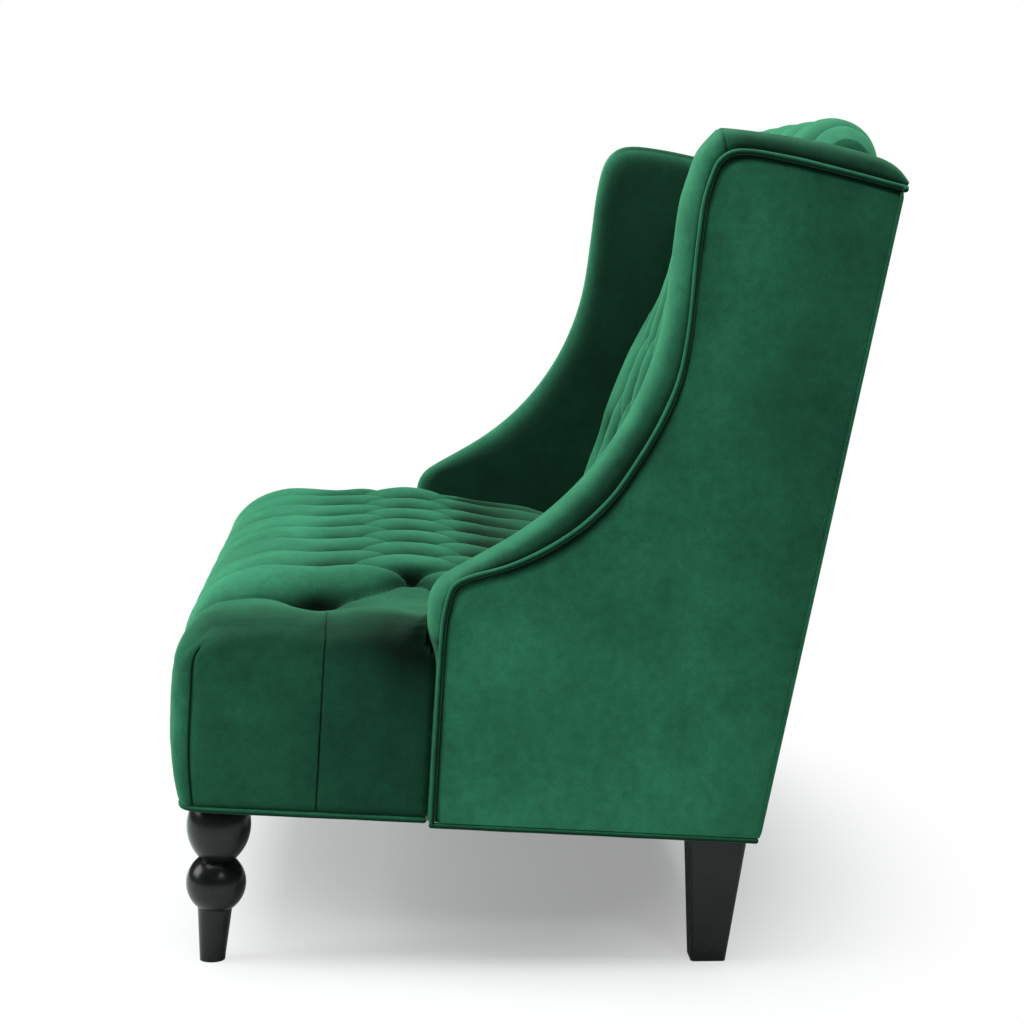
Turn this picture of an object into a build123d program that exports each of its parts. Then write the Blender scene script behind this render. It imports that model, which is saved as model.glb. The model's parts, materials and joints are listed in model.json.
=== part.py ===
"""Wing-sided loveseat with a tufted seat and back, on turned front legs and tapered rear legs.

Millimetres. The body is drawn level: x runs across it, y from front to rear with zero just
behind the padded front of the arms, z up from the base. At the end it leans back on its legs.
"""

from build123d import *
from math import asin, atan2, cos, degrees, hypot, radians, sin, sqrt, tan
import os

# Whole body
frame_width = 1204.0  # over the outer faces of the wing boards
frame_front = -262.0  # y of the front rail's front face
frame_rear = 382.5  # y of the rear rail's rear face
pitch = 3.2  # degrees that the body leans back
clearance = 0.3  # between a soft piece and what it lies on

# Seat frame
rail_bottom = 6.0
rail_height = 90.0
rail_thickness = 25.0
stretcher_width = 40.0
stretcher_height = 50.0
stretcher_drop = 6.0  # stretcher's top below the rails' tops
block_side = 85.0
block_height = 60.0

# Suspension
strap_thickness = 2.5
strap_width = 60.0
seat_straps = 8
cross_straps = 3
back_straps = 7
deck_thickness = 1.0
deck_margin = 40.0  # deck cloth stops this far in front of the rear rail's rear face
dust_thickness = 1.2

# Side outline: arm, hollow sweep, wing
arm_front = -15.0
arm_tip_height = 283.0  # where the arm's front and top lines would cross
arm_slope = 32.5
sweep_radius = 385.0
wing_top_y = 251.0  # where the wing's front and top lines would cross
wing_rise = 44.0  # that corner above the centre of the back's top roll
wing_lean = 3.3
wing_top_fall = 9.8
tip_radius = 45.0
crown_radius = 50.0
base_edge = 9.5  # lower edge of the covers and panels

# Wings
board_thickness = 18.0
wing_padding = 56.0  # from the wing board's inner face to the wing's inner face
wing_wall = 17.0
band_wall = 20.0
inner_round = 24.0
outer_round = 19.0
arm_band = 18.0  # from the arm's padded front to the welt
wing_band = 23.0  # from the wing's padded edge to the welt
panel_thickness = 6.0
panel_round = 2.0
welt_diameter = 9.0
welt_turn = 10.0  # bend of the welt at the seat's front corners

# Back frame
back_rake = 8.1
post_width = 38.0
post_depth = 40.0
post_drop = 25.0  # top of the back frame below the roll's centre
back_rail_height = 50.0
back_bottom_rail = 240.0  # z of the lower rail's underside
stile_width = 50.0

# Quilted covers
tuft_columns = 9
cushion_gap = 1.5  # between the seat or back and the wings
foam_top = 225.0
nose_radius = 25.0
cushion_rear = 246.0
seat_side_bulge = 6.0
seat_side_edge = 3.5
corner_seam = -282.0  # y of the seam between the seat's front and its sides
quilt_crest = 43.0
tuft_depth = 35.0
diamond_crease = 17.0
pleat_crease = 20.0
crest_ease = 2.0  # crests beside a row of tufts, or by a seam, lie this much lower
front_crest = 41.0
front_crease = 13.0
hem_crest = 27.0
hem_crease = 6.0
tail_ease = 5.0  # the same behind the last row
rear_crest = 18.0
rear_crease = 5.0
first_seat_row = -132.0
seat_row_step = 100.0

# Back cushion
roll_height = 790.0  # z of the top roll's centre
roll_core = 18.0
first_back_row = 124.0  # along the back's slope, from its foot
back_row_step = 105.0
back_foot = 250.0  # z where the back's slope begins
foot_crest = 36.0
roll_crease = 12.0

# Legs
front_leg_length = 187.0
front_leg_inset = 62.0  # axis from the wing board's outer face
front_leg_setback = 16.0  # axis behind the front rail's face
bulb_radius = 38.0
bulb_top_radius = 32.0
neck_radius = 21.0
neck_drop = 66.0
ball_radius = 35.5
ball_drop = 60.0
taper_radius = 20.5
front_foot_radius = 15.0
rear_leg_inset = 54.0
rear_leg_setback = 39.5  # axis in front of the rear rail's rear face
rear_leg_top = 68.0
rear_leg_foot = 41.0
rear_leg_edge = 3.0

# Hardware
plate_side = 60.0
plate_thickness = 3.0
plate_room = 2.0  # dust cover's openings over the plates' sides
bolt_diameter = 8.0
bolt_play = 0.4  # holes over the bolt's diameter
bolt_in_leg = 35.0
hole_end = 2.0  # holes run this far past the bolt's end
bolt_in_frame = 22.0
bolt_head_diameter = 14.0
bolt_head_height = 5.0
frame_bolt_bite = 14.0  # into the wing board
frame_bolts = 3
frame_bolt_step = 100.0
first_frame_bolt = 50.0

# Places that follow from these sizes
half = frame_width / 2
board_in = half - board_thickness
wing_in = board_in - wing_padding
rail_top = rail_bottom + rail_height
side_rail_top = rail_top + strap_thickness
deck_bottom = side_rail_top + strap_thickness
deck_top = deck_bottom + deck_thickness
wing_bottom = deck_top + 2 * deck_thickness
leg_top = rail_bottom - plate_thickness
post_top = roll_height - post_drop
wing_top_z = roll_height + wing_rise
cushion_half = wing_in - cushion_gap
seat_half = board_in + seat_side_bulge
panel_in = half + clearance
welt_radius = welt_diameter / 2
welt_x = panel_in + welt_radius
tee_rear = arm_front - cushion_gap  # rear of the seat's wide front
tuft_pitch = 2 * cushion_half / tuft_columns
hole = (bolt_diameter + bolt_play) / 2
front_leg_x = half - front_leg_inset
front_leg_y = frame_front + front_leg_setback
rear_leg_x = half - rear_leg_inset
rear_leg_y = frame_rear - rear_leg_setback
floor_rise = tan(radians(pitch))  # floor's climb along the level body
rear_leg_length = front_leg_length - (rear_leg_y - front_leg_y) * floor_rise


def rear_y(z):
    """y of the body's raked rear plane at height z."""
    return frame_rear + (z - rail_bottom) * tan(radians(back_rake))


def slab(outline, x_from, x_to):
    """Solid between two x planes, with an outline drawn in (y, z)."""
    return extrude(Plane.YZ.offset(x_from) * outline, amount=x_to - x_from)


def polygon(*points):
    return make_face(Polyline(*points, close=True))


def block(x, y, z):
    """Box from three (low, high) pairs."""
    size = [pair[1] - pair[0] for pair in (x, y, z)]
    middle = [(pair[1] + pair[0]) / 2 for pair in (x, y, z)]
    return Pos(*middle) * Box(*size)


def post_x(x, y, radius, z_from, z_to):
    """Upright cylinder."""
    return Pos(x, y, (z_from + z_to) / 2) * Cylinder(radius, z_to - z_from)


def group(shapes):
    return Compound([solid for shape in shapes for solid in shape.solids()])


def pair(name, shape):
    """A right-hand piece and its mirror image."""
    nodes[name + "_right"] = shape
    nodes[name + "_left"] = mirror(shape, about=Plane.YZ)


def meet(p, p_angle, q, q_angle):
    """Where a line through p meets a line through q, angles in degrees."""
    px, py = cos(radians(p_angle)), sin(radians(p_angle))
    qx, qy = cos(radians(q_angle)), sin(radians(q_angle))
    along = ((q[0] - p[0]) * qy - (q[1] - p[1]) * qx) / (px * qy - py * qx)
    return (p[0] + along * px, p[1] + along * py)


def inward(point, angle, distance):
    """A point moved to the right of a direction."""
    return (point[0] + distance * sin(radians(angle)), point[1] - distance * cos(radians(angle)))


def wing_corners(front, edge):
    """Arm tip, sweep, crown and rear corner of the side outline, drawn in by two distances."""
    wing_angle = 90 - wing_lean
    tip = (arm_front + front, arm_tip_height)
    arm = inward((arm_front, arm_tip_height), arm_slope, edge)
    crown = (wing_top_y, wing_top_z)
    wing = inward(crown, wing_angle, edge)
    top = inward(crown, -wing_top_fall, edge)
    rear = (frame_rear, rail_bottom)
    return (
        meet(tip, 90, arm, arm_slope),
        meet(arm, arm_slope, wing, wing_angle),
        meet(wing, wing_angle, top, -wing_top_fall),
        meet(top, -wing_top_fall, rear, 90 - back_rake),
    )


def wing_radii(edge):
    return (tip_radius - edge, sweep_radius + edge, crown_radius - edge)


def wing_outline(front, edge, bottom, behind=0.0):
    """Closed side outline; its rear line may lie some way in front of the body's rear plane."""
    tip, sweep_at, crown, rear = wing_corners(front, edge)
    start = (arm_front + front, bottom)
    rear = meet(crown, -wing_top_fall, (frame_rear - behind, rail_bottom), 90 - back_rake)
    heel = (rear_y(bottom) - behind, bottom)
    radii = (0, *wing_radii(edge), 0, 0)
    corners = (start, tip, sweep_at, crown, rear, heel)
    return make_face(FilletPolyline(*corners, radius=radii, close=True))


def arc_height(a, b, c):
    """Height along the circle through three (x, height) points, b above the line from a to c."""
    ax, ay = a[0] - b[0], a[1] - b[1]
    cx, cy = c[0] - b[0], c[1] - b[1]
    d = 2 * (ax * cy - ay * cx)
    ux = (cy * (ax * ax + ay * ay) - ay * (cx * cx + cy * cy)) / d
    uy = (ax * (cx * cx + cy * cy) - cx * (ax * ax + ay * ay)) / d
    radius = hypot(ux, uy)
    return lambda x: b[1] + uy + sqrt(max(radius**2 - (x - b[0] - ux) ** 2, 0.0))


# Where creases lie: through the tufts of an odd row, midway between rows, through those of an even row
COLUMN = "column"
DIAGONAL = "diagonal"
OFFSET = "offset"


def has_crease(step, kind):
    """Whether a crease of that kind crosses this step of a quarter of the tufts' pitch."""
    place = step % 4
    if kind == DIAGONAL:
        return place in (1, 3)
    return place == (0 if kind == COLUMN else 2)


def quilt_section(half_width, station):
    """Closed section across a quilted cover: arcs from crease to crease over a flat underside."""
    y, z, facing, crest, crease, kind = station
    quarter = tuft_pitch / 4
    last = 2 * (tuft_columns - 1)
    steps = range(-last, last + 1)
    creases = [q * quarter for q in steps if has_crease(q, kind)]
    low = crest - crease
    arches = []
    for a, b in zip(creases, creases[1:]):
        arches.append((a, b, arc_height((a, low), ((a + b) / 2, crest), (b, low))))
    end = creases[-1]
    rise = min(crease, 0.35 * (half_width - end))
    middle = ((end + half_width) / 2, low + rise)
    border = arc_height((end, low), middle, (half_width, low + rise / 2))
    arches.append((end, half_width, border))
    arches.insert(0, (-half_width, -end, lambda x: border(-x)))

    def height(x):
        return next(arch(x) for a, b, arch in arches if a - 1e-6 <= x <= b + 1e-6)

    def at(x, up):
        return (x, y + up * cos(radians(facing)), z + up * sin(radians(facing)))

    xs = [-half_width, *(q * quarter for q in steps), half_width]
    edges = [Line(at(-half_width, 0), at(-half_width, height(-half_width)))]
    for a, b in zip(xs, xs[1:]):
        middle = (a + b) / 2
        side = next(arch for low_x, high_x, arch in arches if low_x <= middle <= high_x)
        edges.append(ThreePointArc(at(a, side(a)), at(middle, side(middle)), at(b, side(b))))
    edges.append(Line(at(half_width, height(half_width)), at(half_width, 0)))
    edges.append(Line(at(half_width, 0), at(-half_width, 0)))
    return Wire([edge.edge() for edge in edges])


def quilt(half_width, stations):
    return Solid.make_loft([quilt_section(half_width, s) for s in stations], ruled=True)


def backing(stations):
    """The stations' points, drawn in by the clearance: the face of the foam under a cover."""
    points = []
    for y, z, facing, *_ in stations:
        points.append((y - clearance * cos(radians(facing)), z - clearance * sin(radians(facing))))
    return points


nodes = {}

# Seat frame: full-width front and rear rails, side rails and a stretcher between them
rail_z = (rail_bottom, rail_top)
rear_rail_y = frame_rear - rail_thickness
front_rail = block((-board_in, board_in), (frame_front, frame_front + rail_thickness), rail_z)
for x in (-front_leg_x, front_leg_x):
    front_rail -= post_x(x, front_leg_y, hole, rail_bottom, rail_bottom + bolt_in_frame + hole_end)
nodes["front_rail"] = front_rail
nodes["rear_rail"] = block((-board_in, board_in), (rear_rail_y, frame_rear), rail_z)

between = (frame_front + rail_thickness, rear_rail_y)
side_rail = block((board_in - rail_thickness, board_in), between, (rail_bottom, side_rail_top))
bolt_z = rail_bottom + rail_height / 2
bolt_places = [first_frame_bolt + frame_bolt_step * i for i in range(frame_bolts)]
for y in bolt_places:
    drill = Rot(Y=90) * Cylinder(hole, rail_thickness)
    side_rail -= Pos(board_in - rail_thickness / 2, y, bolt_z) * drill
post_front = rear_y(rail_top) - post_depth
side_rail -= block((0, half), (post_front - clearance, frame_rear), (rail_top, deck_top))
pair("side_rail", side_rail)

stretcher_z = (rail_top - stretcher_drop - stretcher_height, rail_top - stretcher_drop)
nodes["seat_stretcher"] = block((-stretcher_width / 2, stretcher_width / 2), between, stretcher_z)

inner_x = board_in - rail_thickness
blocks = []
for side in (-1, 1):
    for y, turn in ((between[0], 1), (between[1], -1)):
        corner = (side * inner_x, y)
        along_x = (side * (inner_x - block_side), y)
        along_y = (side * inner_x, y + turn * block_side)
        triangle = Plane.XY.offset(rail_bottom) * polygon(corner, along_x, along_y)
        prism = extrude(triangle, amount=block_height)
        for leg_y in (front_leg_y, rear_leg_y):
            for leg_x in (front_leg_x, rear_leg_x):
                bore_top = rail_bottom + bolt_in_frame + hole_end
                prism -= post_x(side * leg_x, leg_y, hole, rail_bottom, bore_top)
        blocks.append(prism)
nodes["corner_blocks"] = group(blocks)

# Wing boards
board_inset = band_wall + clearance
board = slab(wing_outline(board_inset, board_inset, base_edge), board_in, half)
for y in bolt_places:
    reach = frame_bolt_bite + hole_end
    board -= Pos(board_in + reach / 2, y, bolt_z) * Rot(Y=90) * Cylinder(hole, reach)
pair("wing_board", board)

# Back frame, raked with the rear plane


def raked(z_from, z_to, front, behind=0.0):
    """Outline between two heights, from a distance in front of the rear plane to another."""
    return polygon(
        (rear_y(z_from) - front, z_from),
        (rear_y(z_to) - front, z_to),
        (rear_y(z_to) - behind, z_to),
        (rear_y(z_from) - behind, z_from),
    )


post_in = board_in - post_width
back_top_rail = post_top - back_rail_height
back_bottom_top = back_bottom_rail + back_rail_height
pair("back_post", slab(raked(rail_top, post_top, post_depth), post_in, board_in))
nodes["back_top_rail"] = slab(raked(back_top_rail, post_top, post_depth), -post_in, post_in)
nodes["back_bottom_rail"] = slab(raked(back_bottom_rail, back_bottom_top, post_depth), -post_in, post_in)
stile = raked(back_bottom_top, back_top_rail, post_depth)
nodes["back_stile"] = slab(stile, -stile_width / 2, stile_width / 2)

# Webbing, deck and dust cover


def spread(count, reach):
    """Evenly spaced places whose outer ones keep a half space from both ends."""
    step = 2 * reach / count
    return [-reach + step * (i + 0.5) for i in range(count)]


straps = []
for x in spread(seat_straps, inner_x):
    width = (x - strap_width / 2, x + strap_width / 2)
    straps.append(block(width, (frame_front, frame_rear), (rail_top, side_rail_top)))
nodes["seat_webbing"] = group(straps)

straps = []
middle_y = (between[0] + between[1]) / 2
for y in spread(cross_straps, (between[1] - between[0]) / 2):
    width = (middle_y + y - strap_width / 2, middle_y + y + strap_width / 2)
    straps.append(block((-board_in, board_in), width, (side_rail_top, deck_bottom)))
nodes["seat_webbing_cross"] = group(straps)

straps = []
strap_outline = raked(back_bottom_rail, post_top, post_depth + strap_thickness, post_depth)
for x in spread(back_straps, post_in):
    straps.append(slab(strap_outline, x - strap_width / 2, x + strap_width / 2))
nodes["back_webbing"] = group(straps)

deck_y = (frame_front, frame_rear - deck_margin)
nodes["seat_deck"] = block((-inner_x, inner_x), deck_y, (deck_bottom, deck_top))

dust_z = (rail_bottom - dust_thickness, rail_bottom)
dust = block((-board_in, board_in), (frame_front, frame_rear), dust_z)
leg_places = [(s * front_leg_x, front_leg_y) for s in (-1, 1)]
leg_places += [(s * rear_leg_x, rear_leg_y) for s in (-1, 1)]
opening = plate_side + plate_room
for x, y in leg_places:
    dust -= Pos(x, y, rail_bottom) * Box(opening, opening, 4 * dust_thickness)
nodes["dust_cover"] = dust

# Seat cover: up the front, round the nose, over the top in a diamond of tufts
front_face = frame_front - clearance
nose_z = foam_top - nose_radius
nose_y = front_face + nose_radius
rows = [first_seat_row + seat_row_step * i for i in range(3)]
front_rise = nose_z - base_edge
pleat_y = (nose_y + rows[0]) / 2
tail_y = (rows[2] + cushion_rear) / 2
nose = []
for facing in (180, 150, 120, 90):
    y = nose_y + nose_radius * cos(radians(facing))
    z = nose_z + nose_radius * sin(radians(facing))
    nose.append((y, z, facing, front_crest - 2 * crest_ease * sin(radians(facing)), front_crease, COLUMN))
seat_stations = [
    (front_face, base_edge, 180, hem_crest, hem_crease, COLUMN),
    (front_face, base_edge + 0.3 * front_rise, 180, front_crest - crest_ease, front_crease, COLUMN),
    (front_face, base_edge + 0.65 * front_rise, 180, front_crest, front_crease, COLUMN),
    *nose,
    (pleat_y, foam_top, 90, quilt_crest - crest_ease, pleat_crease, COLUMN),
    (rows[0], foam_top, 90, quilt_crest, tuft_depth, COLUMN),
    ((rows[0] + rows[1]) / 2, foam_top, 90, quilt_crest, diamond_crease, DIAGONAL),
    (rows[1], foam_top, 90, quilt_crest, tuft_depth, OFFSET),
    ((rows[1] + rows[2]) / 2, foam_top, 90, quilt_crest, diamond_crease, DIAGONAL),
    (rows[2], foam_top, 90, quilt_crest, tuft_depth, COLUMN),
    (tail_y, foam_top, 90, quilt_crest - tail_ease, pleat_crease, COLUMN),
    (cushion_rear, foam_top, 90, rear_crest, rear_crease, COLUMN),
]
seat = quilt(seat_half, seat_stations)
seat_height = (0, foam_top + 2 * quilt_crest)
arm_zone = block((cushion_half, seat_half + 1), (tee_rear, cushion_rear + 1), seat_height)
corner_zone = block((board_in, seat_half + 1), (corner_seam, nose_y), (0, foam_top))
for zone in (arm_zone, corner_zone):
    seat = seat - zone - mirror(zone, about=Plane.YZ)
nodes["seat_cover"] = seat

# Seat foam under it, wide in front of the arms
foam_points = [p for p in backing(seat_stations) if p[1] > deck_top]
foam_profile = polygon((frame_front, deck_top), *foam_points, (cushion_rear, deck_top))
foam = slab(foam_profile, -board_in, board_in)
nodes["seat_foam"] = foam - arm_zone - mirror(arm_zone, about=Plane.YZ)

# Seat sides in front of the arms: two soft swellings either side of the row-one pleat
side_front = corner_seam + clearance
side_x = board_in + clearance
side_rear = tee_rear - clearance
side_top = foam_top - clearance
swell = [
    (side_front, seat_side_edge),
    ((side_front + rows[0]) / 2, seat_side_bulge),
    (rows[0], seat_side_edge),
    ((rows[0] + side_rear) / 2, seat_side_bulge),
    (side_rear, seat_side_edge),
]
side_sections = []
for y, bulge in swell:
    low = (side_x + seat_side_edge / 2, y, base_edge)
    high = (side_x + seat_side_edge / 2, y, side_top)
    middle = (side_x + bulge, y, (base_edge + side_top) / 2)
    inner_low = (side_x, y, base_edge)
    inner_high = (side_x, y, side_top)
    edges = [
        Line(inner_low, low),
        ThreePointArc(low, middle, high),
        Line(high, inner_high),
        Line(inner_high, inner_low),
    ]
    side_sections.append(Wire([edge.edge() for edge in edges]))
pair("seat_side", Solid.make_loft(side_sections, ruled=True))

# Back cover: from behind the seat up the slope, over the roll, down to the top rail
roll_y = rear_y(post_top) - roll_core - quilt_crest - cushion_gap
foot_y = cushion_rear + cushion_gap + foot_crest
reach = hypot(roll_y - foot_y, roll_height - back_foot)
slope = degrees(atan2(roll_height - back_foot, roll_y - foot_y) + asin(roll_core / reach))
slope_length = sqrt(reach**2 - roll_core**2)
back_rows = [first_back_row + back_row_step * i for i in range(3)]


def on_slope(along, crest, crease, kind):
    y = foot_y + along * cos(radians(slope))
    z = back_foot + along * sin(radians(slope))
    return (y, z, slope + 90, crest, crease, kind)


def on_roll(share, crease):
    facing = (slope + 90) * (1 - share)
    y = roll_y + roll_core * cos(radians(facing))
    z = roll_height + roll_core * sin(radians(facing))
    return (y, z, facing, quilt_crest - share, crease, COLUMN)


back_low = deck_top + clearance
back_stations = [
    (foot_y, back_low, 180, foot_crest - 2 * crest_ease, rear_crease, COLUMN),
    (foot_y, (back_low + 3 * back_foot) / 4, 180, foot_crest, front_crease, COLUMN),
    on_slope(back_rows[0] / 2, quilt_crest - crest_ease, pleat_crease, COLUMN),
    on_slope(back_rows[0], quilt_crest, tuft_depth, COLUMN),
    on_slope((back_rows[0] + back_rows[1]) / 2, quilt_crest, diamond_crease, DIAGONAL),
    on_slope(back_rows[1], quilt_crest, tuft_depth, OFFSET),
    on_slope((back_rows[1] + back_rows[2]) / 2, quilt_crest, diamond_crease, DIAGONAL),
    on_slope(back_rows[2], quilt_crest, tuft_depth, COLUMN),
    on_slope((2 * back_rows[2] + slope_length) / 3, quilt_crest, pleat_crease, COLUMN),
    *(on_roll(share, roll_crease) for share in (0, 0.25, 0.5, 0.75, 1)),
    (roll_y + roll_core, post_top + clearance, 0, quilt_crest - crest_ease, rear_crease, COLUMN),
]
nodes["back_cover"] = quilt(cushion_half, back_stations)

web_gap = post_depth + strap_thickness + clearance
back_foam = polygon(
    *backing(back_stations),
    (rear_y(post_top) - web_gap, post_top + clearance),
    (rear_y(back_low) - web_gap, back_low),
)
nodes["back_foam"] = slab(back_foam, -cushion_half, cushion_half)

# Wing covers: padded edge band and inner face in one, hollow for board and foam
cover = slab(wing_outline(0, 0, base_edge), wing_in, half)
for side, radius in ((0, inner_round), (-1, outer_round)):
    face = cover.faces().sort_by(Axis.X)[side]
    rim = face.edges().sort_by(lambda e: e.center().Z)[1:]
    rim = rim.sort_by(lambda e: e.center().Y)[:-1]
    cover = fillet(rim, radius)
pocket = slab(wing_outline(band_wall, band_wall, base_edge - 1, -2), wing_in + wing_wall, half + 1)
rear_zone = slab(raked(0, post_top + clearance, post_depth + clearance, -post_depth), wing_in - 1, board_in)
low_zone = block((wing_in - 1, board_in), (arm_front - 1, frame_rear + post_depth), (0, wing_bottom))
pair("wing_cover", cover - pocket - rear_zone - low_zone)

wing_foam = wing_outline(board_inset, board_inset, wing_bottom + clearance, post_depth + clearance)
pair("wing_foam", slab(wing_foam, wing_in + wing_wall + clearance, board_in))

# Side panels and their welts
panel_outline = wing_outline(arm_band + welt_radius, wing_band + welt_radius, base_edge)
panel = slab(panel_outline, panel_in, panel_in + panel_thickness)
pair("side_panel", fillet(panel.faces().sort_by(Axis.X)[-1].edges(), panel_round))

tip, sweep_at, crown, rear = wing_corners(arm_band, wing_band)
welt_points = ((arm_front + arm_band, base_edge), tip, sweep_at, crown, rear)
welt_path = Plane.YZ.offset(welt_x) * FilletPolyline(*welt_points, radius=wing_radii(wing_band))
cord = Plane(welt_path @ 0, z_dir=welt_path % 0) * Circle(welt_radius)
pair("side_welt", sweep(cord, path=welt_path))

welt_z = base_edge - clearance - welt_radius
base_welt = Pos(panel_in + panel_thickness / 2, (arm_front + arm_band + frame_rear) / 2, welt_z)
pair("panel_base_welt", base_welt * Rot(X=90) * Cylinder(welt_radius, frame_rear - arm_front - arm_band))

seat_welt_x = side_x + welt_radius
seat_welt_y = front_face - hem_crest + welt_radius
seat_welt_points = (
    (-seat_welt_x, side_rear, welt_z),
    (-seat_welt_x, seat_welt_y, welt_z),
    (seat_welt_x, seat_welt_y, welt_z),
    (seat_welt_x, side_rear, welt_z),
)
seat_path = FilletPolyline(*seat_welt_points, radius=(welt_turn, welt_turn))
cord = Plane(seat_path @ 0, z_dir=seat_path % 0) * Circle(welt_radius)
nodes["seat_base_welt"] = sweep(cord, path=seat_path)

# Outer back panel and the welt along its top
panel_top = post_top + clearance
panel_reach = panel_in + panel_thickness
back_panel = raked(base_edge, panel_top, 0, -panel_thickness / cos(radians(back_rake)))
nodes["back_panel"] = slab(back_panel, -panel_reach, panel_reach)
top_welt_z = panel_top + welt_radius + clearance
top_welt_y = rear_y(top_welt_z + welt_radius) + welt_radius + clearance
nodes["back_welt"] = Pos(0, top_welt_y, top_welt_z) * Rot(Y=90) * Cylinder(welt_radius, 2 * panel_reach)

# Legs, cut level with the floor
floor_z = -front_leg_length - front_leg_y * floor_rise
overrun = front_foot_radius + rear_leg_foot
below = block((-frame_width, frame_width), (-frame_width, frame_width), (-frame_width, 0))
floor = Pos(0, 0, floor_z) * Rot(X=pitch) * below

neck_z = leg_top - neck_drop
ball_z = neck_z - ball_drop
bulb_z = leg_top - 0.42 * neck_drop
ball_middle = (neck_z + ball_z) / 2
foot_z = -front_leg_length - overrun
leg_edges = [
    Line((0, leg_top), (bulb_top_radius, leg_top)),
    ThreePointArc((bulb_top_radius, leg_top), (bulb_radius, bulb_z), (neck_radius, neck_z)),
    ThreePointArc((neck_radius, neck_z), (ball_radius, ball_middle), (taper_radius, ball_z)),
    Line((taper_radius, ball_z), (front_foot_radius, -front_leg_length)),
    Line((front_foot_radius, -front_leg_length), (front_foot_radius, foot_z)),
    Line((front_foot_radius, foot_z), (0, foot_z)),
    Line((0, foot_z), (0, leg_top)),
]
front_leg = revolve(Plane.XZ * make_face(leg_edges), Axis.Z)
front_leg -= post_x(0, 0, hole, leg_top - bolt_in_leg - hole_end, leg_top)
pair("front_leg", Pos(front_leg_x, front_leg_y, 0) * front_leg - floor)



def eased_square(side, z):
    """Level square with its corners cut."""
    square = Rectangle(side, side)
    return Plane.XY.offset(z) * chamfer(square.vertices(), rear_leg_edge)


low_square = eased_square(rear_leg_foot, -rear_leg_length)
high_square = eased_square(rear_leg_top, leg_top)
stub = extrude(low_square, amount=-overrun)
rear_leg = loft([low_square, high_square], ruled=True) + stub
rear_leg -= post_x(0, 0, hole, leg_top - bolt_in_leg - hole_end, leg_top)
pair("rear_leg", Pos(rear_leg_x, rear_leg_y, 0) * rear_leg - floor)

# Leg plates and bolts
plates = []
bolts = []
for x, y in leg_places:
    plate = Pos(x, y, rail_bottom - plate_thickness / 2) * Box(plate_side, plate_side, plate_thickness)
    plates.append(plate - post_x(x, y, hole, leg_top, rail_bottom))
    bolts.append(post_x(x, y, bolt_diameter / 2, leg_top - bolt_in_leg, rail_bottom + bolt_in_frame))
nodes["leg_plates"] = group(plates)
nodes["hanger_bolts"] = group(bolts)

bolts = []
for side in (-1, 1):
    for y in bolt_places:
        shank_length = rail_thickness + frame_bolt_bite
        shank = Pos(side * (inner_x + shank_length / 2), y, bolt_z) * Rot(Y=90)
        head = Pos(side * (inner_x - bolt_head_height / 2), y, bolt_z) * Rot(Y=90)
        shape = shank * Cylinder(bolt_diameter / 2, shank_length)
        bolts.append(shape + head * Cylinder(bolt_head_diameter / 2, bolt_head_height))
nodes["frame_bolts"] = group(bolts)

# Lean the body back, stand it on the floor and centre it over the origin
leaned = {name: Rot(X=-pitch) * shape for name, shape in nodes.items()}
limits = [shape.bounding_box() for shape in leaned.values()]
low_y = min(box.min.Y for box in limits)
high_y = max(box.max.Y for box in limits)
low_z = min(box.min.Z for box in limits)
stand = Pos(0, -(low_y + high_y) / 2, -low_z)
os.makedirs("parts", exist_ok=True)
for name, shape in leaned.items():
    export_step(stand * shape, f"parts/{name}.step")
print("moved by", -(low_y + high_y) / 2, -low_z, "depth", high_y - low_y)
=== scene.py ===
"""Looks of the tufted loveseat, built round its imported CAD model.

Shapes are drawn in the level body frame of the CAD source, in millimetres: x across, y from
front to rear, z up from the base. to_row() leans them back and puts them in the row frame.
"""

import json
import math

import bmesh
import bpy
import numpy as np
from mathutils import Matrix, Vector
from mathutils.kdtree import KDTree


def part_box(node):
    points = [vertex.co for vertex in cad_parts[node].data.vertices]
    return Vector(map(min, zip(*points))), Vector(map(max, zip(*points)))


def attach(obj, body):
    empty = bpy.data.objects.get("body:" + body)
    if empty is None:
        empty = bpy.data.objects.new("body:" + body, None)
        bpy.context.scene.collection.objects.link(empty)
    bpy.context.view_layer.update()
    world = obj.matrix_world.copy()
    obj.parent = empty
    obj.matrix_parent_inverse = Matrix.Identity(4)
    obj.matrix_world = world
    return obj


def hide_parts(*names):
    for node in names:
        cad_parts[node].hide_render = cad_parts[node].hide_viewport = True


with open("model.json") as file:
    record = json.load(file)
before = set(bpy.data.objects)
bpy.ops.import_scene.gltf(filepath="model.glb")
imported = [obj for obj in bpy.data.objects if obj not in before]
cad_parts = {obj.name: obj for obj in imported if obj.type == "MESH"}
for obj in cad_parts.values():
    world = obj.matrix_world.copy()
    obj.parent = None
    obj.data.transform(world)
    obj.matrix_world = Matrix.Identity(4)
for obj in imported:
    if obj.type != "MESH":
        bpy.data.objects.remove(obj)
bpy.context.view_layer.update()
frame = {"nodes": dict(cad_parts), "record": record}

# The body frame, found from the dust cover's box
LEAN = math.radians(3.2)
FRAME_FRONT = -262.0
FRAME_REAR = 382.5
DUST_Z = (4.8, 6.0)
dust_low, dust_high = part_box("dust_cover")
SHIFT_Y = dust_low.y * 1000 - FRAME_FRONT * math.cos(LEAN) - DUST_Z[0] * math.sin(LEAN)
SHIFT_Z = dust_high.z * 1000 + FRAME_FRONT * math.sin(LEAN) - DUST_Z[1] * math.cos(LEAN)


def to_row(points):
    """Body frame in millimetres to the row frame in metres."""
    p = np.asarray(points, float)
    y = p[:, 1] * math.cos(LEAN) + p[:, 2] * math.sin(LEAN) + SHIFT_Y
    z = -p[:, 1] * math.sin(LEAN) + p[:, 2] * math.cos(LEAN) + SHIFT_Z
    return np.column_stack((p[:, 0], y, z)) / 1000


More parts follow.
